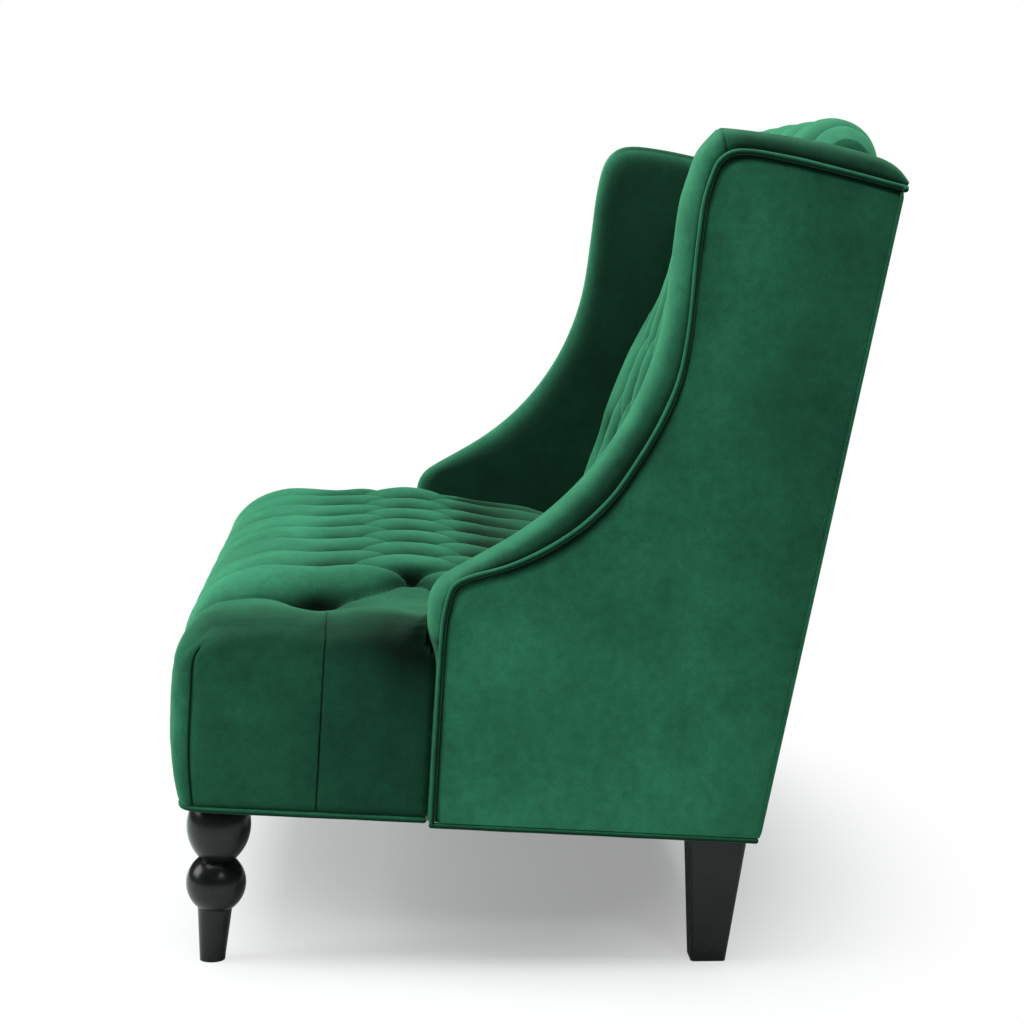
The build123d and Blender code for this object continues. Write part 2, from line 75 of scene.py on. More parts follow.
# Numeric helpers


def smooth(value, low, high):
    """0 below low, 1 above high, an S-curve between."""
    t = np.clip((value - low) / (high - low), 0, 1)
    return t * t * (3 - 2 * t)


def bell(value, width):
    """1 at zero, falling to 1/e at the width."""
    return np.exp(-((value / width) ** 2))


def lines(*stops):
    """Rising values with given steps: lines(start, (step, end), (step, end), ...)."""
    values = [stops[0]]
    for step, end in stops[1:]:
        count = max(1, round((end - values[-1]) / step))
        values.extend(np.linspace(values[-1], end, count + 1)[1:])
    return np.array(values)


def ripple(a, b, seed, size):
    """Smooth irregular waves over two coordinates, from -1 to 1, repeatable."""
    rng = np.random.default_rng(seed)
    total = np.zeros(np.broadcast(a, b).shape)
    weight = 0.0
    for octave in range(5):
        for _ in range(3):
            turn, phase = rng.uniform(0, 2 * math.pi, 2)
            k = 2 * math.pi / (size * rng.uniform(0.75, 1.35) * 0.66**octave)
            gain = 0.7**octave
            total += gain * np.sin(k * (a * math.cos(turn) + b * math.sin(turn)) + phase)
            weight += gain
    return 1.8 * total / weight


def run_of(path):
    """Distance along a path, at each of its points."""
    return np.concatenate(((0,), np.cumsum(np.linalg.norm(np.diff(path, axis=0), axis=1))))


def unit(vectors):
    """The same directions, at length 1."""
    return vectors / np.linalg.norm(vectors, axis=-1, keepdims=True)


def direction(angle):
    """Unit vector in (y, z)."""
    return np.array((math.cos(angle), math.sin(angle)))


def at_runs(where, run, path):
    """Points of a path at given distances along it."""
    return np.column_stack([np.interp(where, run, path[:, k]) for k in range(path.shape[1])])


def at_x(x, path):
    """A side-on path of (y, z) points, put at x."""
    return np.column_stack((np.broadcast_to(x, len(path)), path))


def rim_of(index):
    """Vertex numbers round the edge of a grid."""
    return np.concatenate((index[:, 0], index[-1, 1:], index[:-1, -1][::-1], index[0, 1:-1][::-1]))


def numbered(*shape, first=0):
    """Vertex numbers of a grid."""
    return first + np.arange(math.prod(shape)).reshape(shape)


def grid_faces(index):
    """Quads of a 2-D array of vertex numbers."""
    a, b = index[:-1, :-1].ravel(), index[1:, :-1].ravel()
    c, d = index[1:, 1:].ravel(), index[:-1, 1:].ravel()
    return np.column_stack((a, b, c, d))


def vertex_normals(points, quads):
    """Area-weighted normals of a quad mesh."""
    corner = points[quads]
    normal = np.cross(corner[:, 2] - corner[:, 0], corner[:, 3] - corner[:, 1])
    total = np.zeros_like(points)
    for k in range(4):
        np.add.at(total, quads[:, k], normal)
    length = np.linalg.norm(total, axis=1, keepdims=True)
    return total / np.maximum(length, 1e-9)


# Painted shade is kept at each point: 0 is light, 1 is dark, as if the pile were brushed up or
# lying away. It paints the shade in creases, wells, seams and corners, and the lighter and darker
# pile that this lighting shows
SHADE_LEVEL = 0.24  # stored for a painted shade of 0
SHADE_LIGHTEST = -0.31  # the lightest painted shade


def new_object(name, data):
    """An object in the scene."""
    made = bpy.data.objects.new(name, data)
    bpy.context.scene.collection.objects.link(made)
    return made


def add_piece(name, points, faces, painted_shade=None, slot="velvet"):
    """Mesh object from body-frame points, smooth shaded, riding on the body."""
    place = to_row(points)
    mesh = bpy.data.meshes.new(name)
    mesh.from_pydata(place.tolist(), [], [list(map(int, f)) for f in faces])
    mesh.validate()
    shell = bmesh.new()
    shell.from_mesh(mesh)
    bmesh.ops.recalc_face_normals(shell, faces=shell.faces)
    shell.to_mesh(mesh)
    shell.free()
    mesh.update()
    mesh.polygons.foreach_set("use_smooth", [True] * len(mesh.polygons))
    mesh.materials.append(FINISH[slot])
    # painted shade: kept on the mesh, where the velvet darkens its base colour by it
    if painted_shade is not None:
        layer = mesh.attributes.new("painted_shade", "FLOAT", "POINT")
        shade_value = SHADE_LEVEL + (1 - SHADE_LEVEL) * np.clip(painted_shade, SHADE_LIGHTEST, 1)
        layer.data.foreach_set("value", np.asarray(shade_value, np.float32))
    piece = new_object(name, mesh)
    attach(piece, "root")
    return piece


def coordinates(mesh):
    """Places of a mesh's vertices, one row each."""
    flat = np.empty(len(mesh.vertices) * 3)
    mesh.vertices.foreach_get("co", flat)
    return flat.reshape(-1, 3)


def tree_of(points):
    tree = KDTree(len(points))
    for number, point in enumerate(points):
        tree.insert(point, number)
    tree.balance()
    return tree


def add_cloth(piece, weights, pressure):
    """Cloth under pressure, without gravity, held where the weights are 1."""
    held = piece.vertex_groups.new(name="held")
    for weight in np.unique(weights):
        held.add(np.nonzero(weights == weight)[0].tolist(), float(weight), "REPLACE")
    cloth = piece.modifiers.new("cloth", "CLOTH")
    settings = cloth.settings
    settings.vertex_group_mass = "held"
    settings.quality = 4
    settings.mass = 0.01
    settings.tension_stiffness = settings.compression_stiffness = 15.0
    settings.shear_stiffness = 5.0
    settings.bending_stiffness = 0.5
    settings.use_pressure = True
    settings.uniform_pressure_force = pressure
    settings.effector_weights.gravity = 0.0
    cloth.collision_settings.use_collision = False


SWELL_VOXEL = 0.012
SWELL_FRAMES = 14
SWELL_CAP = 0.006
SWELL_NEAR = 6  # coarse points that carry each fine point
SWELL_BLUR = 6e-5  # evens out their shares, in square metres


def evaluated(piece):
    """The object with its modifiers applied."""
    return piece.evaluated_get(bpy.context.evaluated_depsgraph_get())


def inflate(piece, free, pressure):
    """Swell a coarse copy as cloth, and carry its movement to the free part of the piece's mesh."""
    scene = bpy.context.scene
    mesh = piece.data
    fine = coordinates(mesh)
    copy = new_object("swelling", mesh.copy())
    remesh = copy.modifiers.new("remesh", "REMESH")
    remesh.mode = "VOXEL"
    remesh.voxel_size = SWELL_VOXEL
    shape = bpy.data.meshes.new_from_object(evaluated(copy))
    copy.modifiers.remove(remesh)
    copy.data = shape
    coarse = coordinates(shape)
    fine_tree = tree_of(fine)
    nearest = [fine_tree.find(point)[1] for point in coarse]
    add_cloth(copy, np.round(1 - np.clip(free[nearest], 0, 1), 1), pressure)
    for frame_number in range(SWELL_FRAMES + 1):
        scene.frame_set(frame_number)
    move = coordinates(evaluated(copy).data) - coarse
    scene.frame_set(1)
    bpy.data.objects.remove(copy)
    far = np.linalg.norm(move, axis=1, keepdims=True)
    move = move * (SWELL_CAP * np.tanh(far / SWELL_CAP) / np.maximum(far, 1e-9))
    coarse_tree = tree_of(coarse)
    for number in np.nonzero(free > 0.01)[0]:
        near = coarse_tree.find_n(fine[number], SWELL_NEAR)
        share = np.array([1 / (reach * reach + SWELL_BLUR) for _, _, reach in near])
        fine[number] += free[number] * (share @ move[[i for _, i, _ in near]]) / share.sum()
    mesh.vertices.foreach_set("co", fine.ravel())
    mesh.update()


# Materials


class Drawing:
    """A node tree; each node is added with its inputs set to values or linked to outputs."""

    def __init__(self, tree):
        self.nodes, self.links = tree.nodes, tree.links

    def fill(self, node, inputs):
        for key, value in inputs.items():
            if isinstance(value, bpy.types.NodeSocket):
                self.links.new(value, node.inputs[key])
            else:
                node.inputs[key].default_value = value

    def add(self, kind, inputs=None, **settings):
        node = self.nodes.new(f"ShaderNode{kind}")
        for key, value in settings.items():
            setattr(node, key, value)
        self.fill(node, inputs or {})
        return node

    def noise(self, place, scale, detail=3.0, roughness=0.55):
        """Cloudy pattern from 0 to 1; the scale is in spots per metre."""
        inputs = {"Vector": place, "Scale": scale, "Detail": detail, "Roughness": roughness}
        return self.add("TexNoise", inputs).outputs["Fac"]

    def ramp(self, value, *stops):
        """Colours along a value, from stops of (position, colour); a number stands for a grey."""
        node = self.add("ValToRGB", {"Fac": value})
        for element, (at, color) in zip(node.color_ramp.elements, stops):
            element.position = at
            element.color = (*color, 1) if isinstance(color, tuple) else (color, color, color, 1)
        return node.outputs["Color"]

    def product(self, a, b):
        inputs = {0: 1.0, 6: a, 7: b}
        return self.add("Mix", inputs, data_type="RGBA", blend_type="MULTIPLY").outputs[2]

    def stretched(self, place, scale):
        return self.add("Mapping", {"Vector": place, "Scale": scale}).outputs["Vector"]

    def bump(self, height, strength, distance):
        inputs = {"Height": height, "Strength": strength, "Distance": distance}
        return self.add("Bump", inputs).outputs["Normal"]

    def math(self, operation, a, b):
        return self.add("Math", {0: a, 1: b}, operation=operation).outputs[0]

    def mixed(self, share, a, b):
        """Two shaders, the second by its share."""
        return self.add("MixShader", {0: share, 1: a, 2: b}).outputs["Shader"]


def new_material(name):
    """An empty finish: the material, its drawing, its shader and the object's coordinates."""
    material = bpy.data.materials.new(name)
    material.use_nodes = True
    draw = Drawing(material.node_tree)
    place = draw.add("TexCoord").outputs["Object"]
    return material, draw, draw.nodes["Principled BSDF"], place


def velvet(name, dark, light, sheen_tint, sheen, sheen_rough):
    """Short-pile velvet: brushed patches, streaks and grain, darkened by the painted shade kept on
    the mesh, with a sheen.
    """
    material, draw, shader, place = new_material(name)
    patches = draw.noise(place, 4.5, 5.0, 0.6)
    smudges = draw.noise(place, 19.0, 4.0, 0.6)
    mottle = draw.noise(place, 90.0)
    grain = draw.noise(place, 480.0, 2.0)
    pile = draw.noise(place, 1500.0, 2.0)
    layers = [
        draw.ramp(smudges, (0.3, 0.86), (0.7, 1.13)),
        draw.ramp(mottle, (0.3, 0.88), (0.7, 1.1)),
        draw.ramp(grain, (0.3, 0.86), (0.7, 1.12)),
    ]
    for stretch in ((6.0, 6.0, 150.0), (6.0, 150.0, 6.0)):
        streak = draw.noise(draw.stretched(place, stretch), 1.0)
        layers.append(draw.ramp(streak, (0.3, 0.98), (0.7, 1.02)))
    # painted shade from the mesh: the base colour from 1.3 times at 0 down to 0.05 times at 1
    painted_shade = draw.add("Attribute", attribute_name="painted_shade").outputs["Fac"]
    layers.append(draw.ramp(painted_shade, (0.0, 1.3), (1.0, 0.05)))
    tone = draw.ramp(patches, (0.3, dark), (0.7, light))
    for layer in layers:
        tone = draw.product(tone, layer)
    draw.fill(shader, {
        "Base Color": tone,
        "Roughness": draw.ramp(mottle, (0.25, 0.75), (0.75, 0.92)),
        "Specular IOR Level": 0.06,
        "Sheen Weight": sheen,
        "Sheen Roughness": sheen_rough,
        "Sheen Tint": (*sheen_tint, 1),
        "Normal": draw.bump(pile, 0.25, 0.0006),
    })
    return material


def lacquer(name):
    """Black satin lacquer with a faint unevenness."""
    material, draw, shader, place = new_material(name)
    cloud = draw.noise(place, 30.0, 4.0)
    dust = draw.noise(place, 900.0, 2.0)
    draw.fill(shader, {
        "Base Color": draw.ramp(cloud, (0.3, (0.005, 0.006, 0.0057)), (0.7, (0.009, 0.0105, 0.01))),
        "Roughness": draw.ramp(cloud, (0.25, 0.2), (0.75, 0.3)),
        "Specular IOR Level": 0.25,
        "Normal": draw.bump(dust, 0.06, 0.0004),
    })
    return material


def wood(name, dark, light, scale):
    """Bare timber or plywood: long grain along x."""
    material, draw, shader, place = new_material(name)
    grain = draw.noise(draw.stretched(place, (0.12, 1.0, 1.0)), scale, 6.0)
    draw.fill(shader, {
        "Base Color": draw.ramp(grain, (0.3, dark), (0.7, light)),
        "Roughness": draw.ramp(grain, (0.2, 0.6), (0.8, 0.8)),
        "Normal": draw.bump(grain, 0.15, 0.0005),
    })
    return material


def woven(name, dark, light, thread):
    """Plain weave: crossed bands at a given wave scale, faded in clouds."""
    material, draw, shader, place = new_material(name)
    inputs = {"Vector": place, "Scale": thread, "Distortion": 0.6}
    warp, weft = (
        draw.add("TexWave", inputs, bands_direction=way).outputs["Fac"]
        for way in ("X", "Y")
    )
    weave = draw.math("MULTIPLY", warp, weft)
    cloud = draw.noise(place, 25.0, 4.0)
    faded = draw.ramp(cloud, (0.3, 0.85), (0.7, 1.1))
    draw.fill(shader, {
        "Base Color": draw.product(draw.ramp(weave, (0.1, dark), (0.9, light)), faded),
        "Roughness": draw.ramp(cloud, (0.2, 0.8), (0.8, 0.95)),
        "Normal": draw.bump(weave, 0.4, 0.0008),
    })
    return material


def steel(name):
    """Dull zinc plate."""
    material, draw, shader, place = new_material(name)
    cloud = draw.noise(place, 160.0, 4.0)
    draw.fill(shader, {
        "Base Color": draw.ramp(cloud, (0.3, 0.5), (0.7, 0.66)),
        "Metallic": 1.0,
        "Roughness": draw.ramp(cloud, (0.2, 0.32), (0.8, 0.5)),
    })
    return material


PILE_DARK, PILE_LIGHT = (0.017, 0.112, 0.0585), (0.025, 0.163, 0.0855)
PILE_SHEEN = (0.22, 0.85, 0.45)
FINISH = {
    "velvet": velvet(
        "velvet_emerald", PILE_DARK, PILE_LIGHT, PILE_SHEEN, sheen=0.34, sheen_rough=0.45
    ),
    "foam": woven("foam_cream", (0.62, 0.58, 0.46), (0.72, 0.69, 0.58), 260.0),
    "frame_wood": wood("frame_timber", (0.42, 0.29, 0.17), (0.58, 0.43, 0.27), 45.0),
    "plywood": wood("birch_plywood", (0.55, 0.41, 0.26), (0.68, 0.54, 0.37), 60.0),
    "webbing": woven("webbing_jute", (0.3, 0.22, 0.13), (0.5, 0.4, 0.26), 110.0),
    "deck_cloth": woven("deck_calico", (0.5, 0.47, 0.4), (0.68, 0.65, 0.57), 300.0),
    "dust_cloth": woven("dust_cambric", (0.012, 0.012, 0.013), (0.032, 0.032, 0.034), 240.0),
    "leg_lacquer": lacquer("black_satin_lacquer"),
    "zinc_steel": steel("zinc_plate"),
}
for row in frame["record"]["subparts"]:
    node = frame["nodes"][row["node"]]
    node.data.materials.clear()
    node.data.materials.append(FINISH[row["material_slot"]])

# Sizes shared with the CAD source
TUFT_PITCH = 117.0
LAST_TUFT = 4 * TUFT_PITCH  # from the middle to the end tuft of the longer rows
HALF = 4.5 * TUFT_PITCH  # half the width between the wings
WING_IN = 528.0  # the wings' inner faces
PANEL_IN, PANEL_OUT = 602.3, 608.3
BASE_EDGE = 9.5
RAIL_BOTTOM = 6.0
BACK_TOP = 765.3  # top edge of the outer back panel
REAR_RAKE = math.tan(math.radians(8.1))


def rear_y(z):
    """The raked rear face of the frame."""
    return FRAME_REAR + (z - RAIL_BOTTOM) * REAR_RAKE


def crease_free(place, first, last, fullness=0.62):
    """1 on a pillow's crown, 0 on its creases, which lie at whole numbers from first to last."""
    t = 2 * (place - np.floor(place)) - 1
    t = np.where(place > last, np.minimum(2 * (place - last) - 1, 0), t)
    t = np.where(place < first, np.maximum(1 - 2 * (first - place), 0), t)
    return np.maximum(1 - t * t, 0) ** fullness


TUFT_ROWS = (9, 8, 9)
TUFT_CELLS, ROW_CELLS = 36, 18  # mesh columns from tuft to tuft, and lines from row to row
WELL = ((30.0, 11.5), (8.0, 52.0))  # depth and width of each tuft's narrow well and wide dip
# painted shade round each tuft's well, for the shade that falls in it: darkness and width
WELL_SHADE = ((0.95, 15.0), (0.58, 40.0))
END_TUFT = 0.4  # the end tufts of the middle row are drawn in less
half_cells = TUFT_ROWS[0] * TUFT_CELLS // 2
tuft_columns = np.arange(-half_cells, half_cells + 1) * (TUFT_PITCH / TUFT_CELLS)


def tuft_depth(x, along, first_row, row_step, diagonal, pleat, hole, funnel):
    """Depth, painted shade, and where it may swell, of a cover with pleats round three rows of
    tufts.
    """
    a = x / TUFT_PITCH
    b = np.clip((along - first_row) / row_step, 0, 2)
    p = np.maximum(crease_free(a + b / 2, -3, 4), 1e-4)
    q = np.maximum(crease_free(a - b / 2, -4, 3), 1e-4)
    crown = np.minimum(((p**-4 + q**-4) / 2) ** -0.25, 1)
    inside = smooth(b, 0, 0.35) * smooth(2 - b, 0, 0.35)
    depth = pleat + (diagonal - pleat) * inside
    well = np.zeros_like(depth)
    shade = np.zeros_like(depth)
    rng = np.random.default_rng(11)
    for row, count in enumerate(TUFT_ROWS):
        for k in range(count):
            tuft_x = (k - (count - 1) / 2) * TUFT_PITCH
            far = np.hypot(x - tuft_x, along - first_row - row * row_step)
            share = END_TUFT if row == 1 and k in (0, count - 1) else 1.0
            drawn = hole * rng.uniform(0.94, 1.06) * share
            depth += (drawn - depth) * bell(far, funnel)
            well += share * sum(deep * bell(far, width) for deep, width in WELL)
            dark = share * sum(shade_value * bell(far, width) for shade_value, width in WELL_SHADE)
            shade = np.maximum(shade, dark)
    depth *= (1 - crown)
    free = smooth(crown, 0.35, 0.9) * (1 - np.clip(shade, 0, 1))
    # painted shade: the wells' shade, and shade down the creases by their depth
    return depth + well, shade + 0.6 * np.clip(depth / 20, 0, 1) ** 1.25, free


# Seat: one sewn skin over front, top and sides, wide in front of the arms


def seat_skin():
    """Points, faces, painted shade, lower edge in front of the arms, and where the skin may swell.
    """
    front, rear, top, side = -306.0, 246.0, 266.0, 590.0
    first_row, row_step = -132.0, 100.0  # the side seam is in line with the first row
    corner_y = -283.0  # seam down the front corner
    border = lines(HALF, (5.5, 570.0), (3.5, side))[1:]
    xs = np.concatenate((-border[::-1], tuft_columns, border))
    ys = lines(
        front, (3.0, corner_y - 6), (1.2, corner_y + 6), (4.5, first_row - 5), (0.9, first_row),
        (0.9, first_row + 4.444), (row_step / ROW_CELLS, first_row + 2 * row_step), (5.6, rear),
    )
    zs = lines(BASE_EDGE, (5.6, 165.0), (4.0, top))
    nx, ny, nz = len(xs), len(ys), len(zs)

    # Vertex numbers of the top, the front and both sides, which share their edges
    top_index = numbered(nx, ny)
    below_top = numbered(nx, nz - 1, first=top_index.size)
    front_index = np.column_stack((below_top, top_index[:, 0]))
    count = top_index.size + below_top.size
    sides = []
    for end in (0, -1):
        behind_front = numbered(ny - 1, nz - 1, first=count)
        count += behind_front.size
        below_top = np.vstack((front_index[end, :-1], behind_front))
        sides.append(np.column_stack((below_top, top_index[end])))
    x, y, z = np.empty((3, count))
    x[top_index], y[top_index], z[top_index] = xs[:, None], ys[None, :], top
    x[front_index], y[front_index], z[front_index] = xs[:, None], front, zs[None, :]
    for index, end in zip(sides, (xs[0], xs[-1])):
        x[index], y[index], z[index] = end, ys[:, None], zs[None, :]
    quads = np.concatenate((
        grid_faces(top_index),
        grid_faces(front_index),
        grid_faces(sides[0])[:, ::-1],
        grid_faces(sides[1]),
    ))

    # Rounded edges: how far each point lies past the core, as a share of the local radius
    beside = smooth(np.abs(x), 515, 575)
    round_y = 115 + (24 + 84 * smooth(z, 172, 255) - 115) * beside
    wide = 1 - smooth(y, -60, -10)
    round_x = 28.0 + wide * 54 * smooth(z, 196, 260)
    round_z = 62 + 33 * smooth(-y, 150, 240) * (1 - 0.5 * beside)
    round_z = round_z - 44 * smooth(np.abs(x), 520, side) * (1 - wide)
    past_x = np.maximum(np.abs(x) - (side - round_x), 0) / round_x
    past_y = np.maximum(front + round_y - y, 0) / round_y
    past_z = np.maximum(z - (top - round_z), 0) / round_z
    blend = 2.2  # 2 gives round edges, more gives squarer ones
    reach = np.maximum((past_x**blend + past_y**blend + past_z**blend) ** (1 / blend), 1e-9)
    keep = np.where(reach > 1e-6, 1 / reach, 1)
    outer = np.sign(x) * (np.minimum(np.abs(x), side - round_x) + round_x * past_x * keep)
    deep = np.maximum(y, front + round_y) - round_y * past_y * keep
    high = np.minimum(z, top - round_z) + round_z * past_z * keep

    # Front bulge, width behind the arms' fronts, fall to the rear, swelling of the border
    at_front = np.clip(1 - (deep - front) / 60, 0, 1)
    deep += at_front * 13 * (np.maximum(105 - high, 0) / 95) ** 2
    deep += at_front * 8 * beside * smooth(high, 180, 228)
    low = smooth(232 - high, 0, 36)
    arm_end = -11 + 13 * low
    t = np.clip((deep + 50) / (arm_end + 50), 0, 1)
    power = 3.2 + 9 * low
    width = HALF + (side - HALF) * (1 - t**power) ** (1 / power)
    squeeze = (width - LAST_TUFT) / (side - LAST_TUFT)
    beyond = np.maximum(np.abs(outer) - LAST_TUFT, 0)
    outer = np.sign(outer) * (np.minimum(np.abs(outer), LAST_TUFT) + beyond * squeeze)
    lift = (high - BASE_EDGE) / (top - BASE_EDGE)
    fall = 8 * np.clip((deep + 17) / 219, 0, 1) ** 1.6 + 14 * smooth(deep, 140, 250)
    high = high - lift * fall
    inward = 30 * smooth(deep, -140, -58)
    at_border = smooth(np.abs(x) + inward, 400, 505)
    swell = 21 * bell(deep + 32, 135) * (1 - smooth(np.abs(x), 385, 455))
    high += lift**3 * (swell - (23 - 9 * smooth(-deep, 235, 300)) * at_border)
    base = np.column_stack((outer, deep, high))

    # Tufts and pleats, which end at the side
    along = np.where(y > front + 1e-6, y, front - (top - z))
    pleat_at = (-565, -500, -380, -285, -250, -220, -180, first_row, 68, rear)
    pleat = np.interp(along, pleat_at, (1, 3, 5, 8, 11, 13.5, 16, 18, 18, 5))
    forward = 7 * smooth(np.abs(x), 220, 340) + 7 * smooth(np.abs(x), 415, 460)
    drawn = along + forward * bell(along + 140, 60)
    depth, painted_shade, free = tuft_depth(
        x, drawn, first_row, row_step, diagonal=15.0, pleat=pleat, hole=46.0, funnel=26.0
    )
    on_side = past_x > 0.999
    before_side = 1 - smooth(past_x, 0.6, 1.0)
    depth = np.where(on_side, 0.0, depth * before_side)
    to_side = smooth(np.abs(x), 370, 480)
    valley = np.exp(-((np.abs(deep + 140) / 40) ** 1.8))
    depth += 5 * to_side * smooth(high, 185, 240) * valley

    # Painted shade: darker on the border, down the side, by the arms and to the rear, where shade
    # falls
    turned = smooth(past_x, 0.05, 0.5)
    painted_shade *= before_side
    painted_shade += 0.4 * smooth(np.abs(x) + inward, 440, 500) * (1 - turned)
    painted_shade += turned * (0.48 + 0.2 * bell(high - 222, 30))
    by_arm = smooth(deep, -110, -30) * smooth(high, 100, 200)
    painted_shade += turned * (0.25 * by_arm - 0.25 * smooth(-deep, 270, 300))
    painted_shade += 0.4 * smooth(np.abs(x), 400, 520) * smooth(y, -10, 120)
    painted_shade += 0.62 * smooth(y, 0, 95) + 0.16 * smooth(along, -180, -80)

    # Side seam, corner seam, lower edge, gathers by the arm; painted shade in the seams and along
    # the lower edge
    seam_zone = smooth(past_x, 0.7, 1.0)
    side_seam = bell(deep - first_row, 1.0) * smooth(past_x, 0.2, 0.45)
    depth += 1.8 * side_seam + seam_zone * 0.7 * bell(deep - first_row, 7)
    corner = bell(y - corner_y, 2.0) * smooth(213 - z, 0, 10)
    depth += seam_zone * (3.6 * corner + 1.5 * bell(y - corner_y, 8) * smooth(225 - z, 0, 30))
    painted_shade += 0.45 * side_seam + 0.6 * seam_zone * corner
    depth += 2.5 * smooth(BASE_EDGE + 7 - z, 0, 7)
    painted_shade = np.clip(painted_shade + 0.5 * smooth(BASE_EDGE + 8 - z, 0, 8), 0, 1)
    gathers = bell(deep + 20, 15) * bell(high - 222, 22)
    depth += seam_zone * 0.9 * gathers * np.cos(high * 2 * math.pi / 8.5)
    depth = depth - 0.9 * ripple(base[:, 0] + base[:, 2], base[:, 1] - base[:, 2], 5, 160.0)
    skin = base - vertex_normals(base, quads) * depth[:, None]

    # Closed behind and below
    left, right = sides
    rear_loop = np.concatenate((top_index[:, -1], right[-1, -2::-1], left[-1, :-1]))
    base_loop = np.concatenate((front_index[:, 0], right[1:, 0], left[:0:-1, 0]))
    hem = skin[np.concatenate((left[:0:-1, 0], front_index[:, 0], right[1:, 0]))]
    free = np.where(on_side, 1.0, free) * smooth(z, BASE_EDGE + 6, BASE_EDGE + 50)
    free *= smooth(rear - 10 - y, 0, 30)
    free *= (1 - np.clip(1.6 * side_seam + 1.6 * seam_zone * corner, 0, 1))
    free *= (1 - smooth(deep, -60, -25) * smooth(np.abs(x), 500, 530))
    return skin, [*quads, rear_loop, base_loop], painted_shade, hem[hem[:, 1] < -4], free


points, faces, painted_shade, seat_hem, free = seat_skin()
seat = add_piece("seat_skin", points, faces, painted_shade)
inflate(seat, free, pressure=5.0)
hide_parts("seat_cover", "seat_foam", "seat_side_left", "seat_side_right")

# Back: the same skin up a slope and over a roll


def back_skin():
    """Points, faces, painted shade, and where the skin may swell; s runs up the slope and over the
    roll.
    """
    slope = math.radians(76.9)
    foot = np.array((283.5, 250.0))  # (y, z) where the slope starts, at s = 0
    length, crest = 559.0, 43.0
    roll_at, roll_core = np.array((440.0, 795.0)), 18.0
    roll_run = 178.0  # along s, over the roll
    rows_at, row_step = 124.0, 105.0
    s_low = -104.0
    roll_end = length + roll_run
    s_values = np.concatenate((
        lines(s_low, (6.0, rows_at))[:-1],
        rows_at + row_step / ROW_CELLS * np.arange(2 * ROW_CELLS),
        lines(rows_at + 2 * row_step, (6.0, length), (5.5, roll_end), (6.0, length + 200.0)),
    ))
    xs = tuft_columns
    place, facing, heart = [], [], []
    turn = slope + math.pi / 2
    for s in s_values:
        if s < 0:
            bend = np.clip(1 + s / 60, 0, 1)
            angle = math.pi - (math.pi - turn) * bend**2
            place.append((foot[0], foot[1] + s))
        elif s <= length:
            angle = turn
            place.append(foot + s * direction(slope))
        else:
            share = min((s - length) / roll_run, 1)
            angle = turn * (1 - share)
            down = max(s - length - roll_run, 0)
            place.append(roll_at + roll_core * direction(angle) - (0, down))
        facing.append(direction(angle))
        heart.append(place[-1] if s <= length else roll_at + facing[-1])
    place, facing = np.array(place), np.array(facing)
    x, s = np.meshgrid(xs, s_values, indexing="ij")
    pleat_at = (s_low, 0, 70, 430, length, 650, roll_end, 760)
    pleat = np.interp(s_values, pleat_at, (6, 14, 20, 20, 13, 12, 8, 4))[None, :]
    depth, painted_shade, free = tuft_depth(
        x, s, rows_at, row_step, diagonal=16.0, pleat=pleat, hole=46.0, funnel=28.0
    )
    at_roll = smooth(s, 430, 620)
    away = np.abs(x)
    end_share = np.clip((away - 440) / (HALF - 440), 0, 1)
    depth += (1 - at_roll) * (12 * smooth(away, HALF - 16, HALF) ** 2)
    # painted shade, darker low on the slope where the back meets the seat
    painted_shade = np.clip(painted_shade + 0.3 * smooth(60 - s, 0, 100), 0, 0.95).ravel()
    depth = depth - 1.0 * ripple(x, s, 9, 170.0) * (1 - smooth(away, 480, HALF))
    recede = np.interp(s, (150, 255, 322, 394, 450, 520, 580, 640), (0, 11, 21, 36, 38, 30, 10, 0))
    recede = recede * np.clip((away - 150) / 350, 0, 1.1) ** 1.6
    out = (crest - 4 * at_roll - depth - recede) * (1 - 0.72 * at_roll * end_share**1.7)
    skin = np.empty((*x.shape, 3))
    skin[..., 0] = x
    skin[..., 1] = place[None, :, 0] + out * facing[None, :, 0]
    skin[..., 2] = place[None, :, 1] + out * facing[None, :, 1]
    index = numbered(*x.shape)
    quads = grid_faces(index)

    # Inner row that closes the skin: the slope's back, then the roll's axis
    points = skin.reshape(-1, 3)
    left_index = len(points) + np.arange(len(s_values))
    right_index = left_index + len(s_values)
    points = np.concatenate((points, at_x(xs[0], heart), at_x(xs[-1], heart)))
    walls = np.concatenate((
        grid_faces(np.array((left_index, index[0]))),
        grid_faces(np.array((index[-1], right_index))),
        grid_faces(np.array((right_index, left_index))),
    ))
    low_end = [*index[::-1, 0], left_index[0], right_index[0]]
    high_end = [*index[:, -1], right_index[-1], left_index[-1]]
    free *= smooth(s, 0, 60) * smooth(length + 150 - s, 0, 60) * smooth(HALF - away, 4, 40)
    painted_shade = np.concatenate((painted_shade, np.zeros(len(points) - len(painted_shade))))
    free = np.concatenate((free.ravel(), np.zeros(len(points) - free.size)))
    return points, [*quads[:, ::-1], *walls[:, ::-1], low_end, high_end], painted_shade, free


points, faces, painted_shade, free = back_skin()
back = add_piece("back_skin", points, faces, painted_shade)
inflate(back, free, pressure=10.0)
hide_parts("back_cover", "back_foam")

# Side outline: arm, hollow sweep, wing
ARM_FRONT, ARM_TIP = -15.0, 283.0
ARM_SLOPE, WING_ANGLE = math.radians(32.5), math.radians(86.7)
CROWN = np.array((251.0, 834.0))
TIP_RADIUS, SWEEP_RADIUS = 45.0, 385.0
ARM_BAND, WING_BAND = 18.0, 23.0


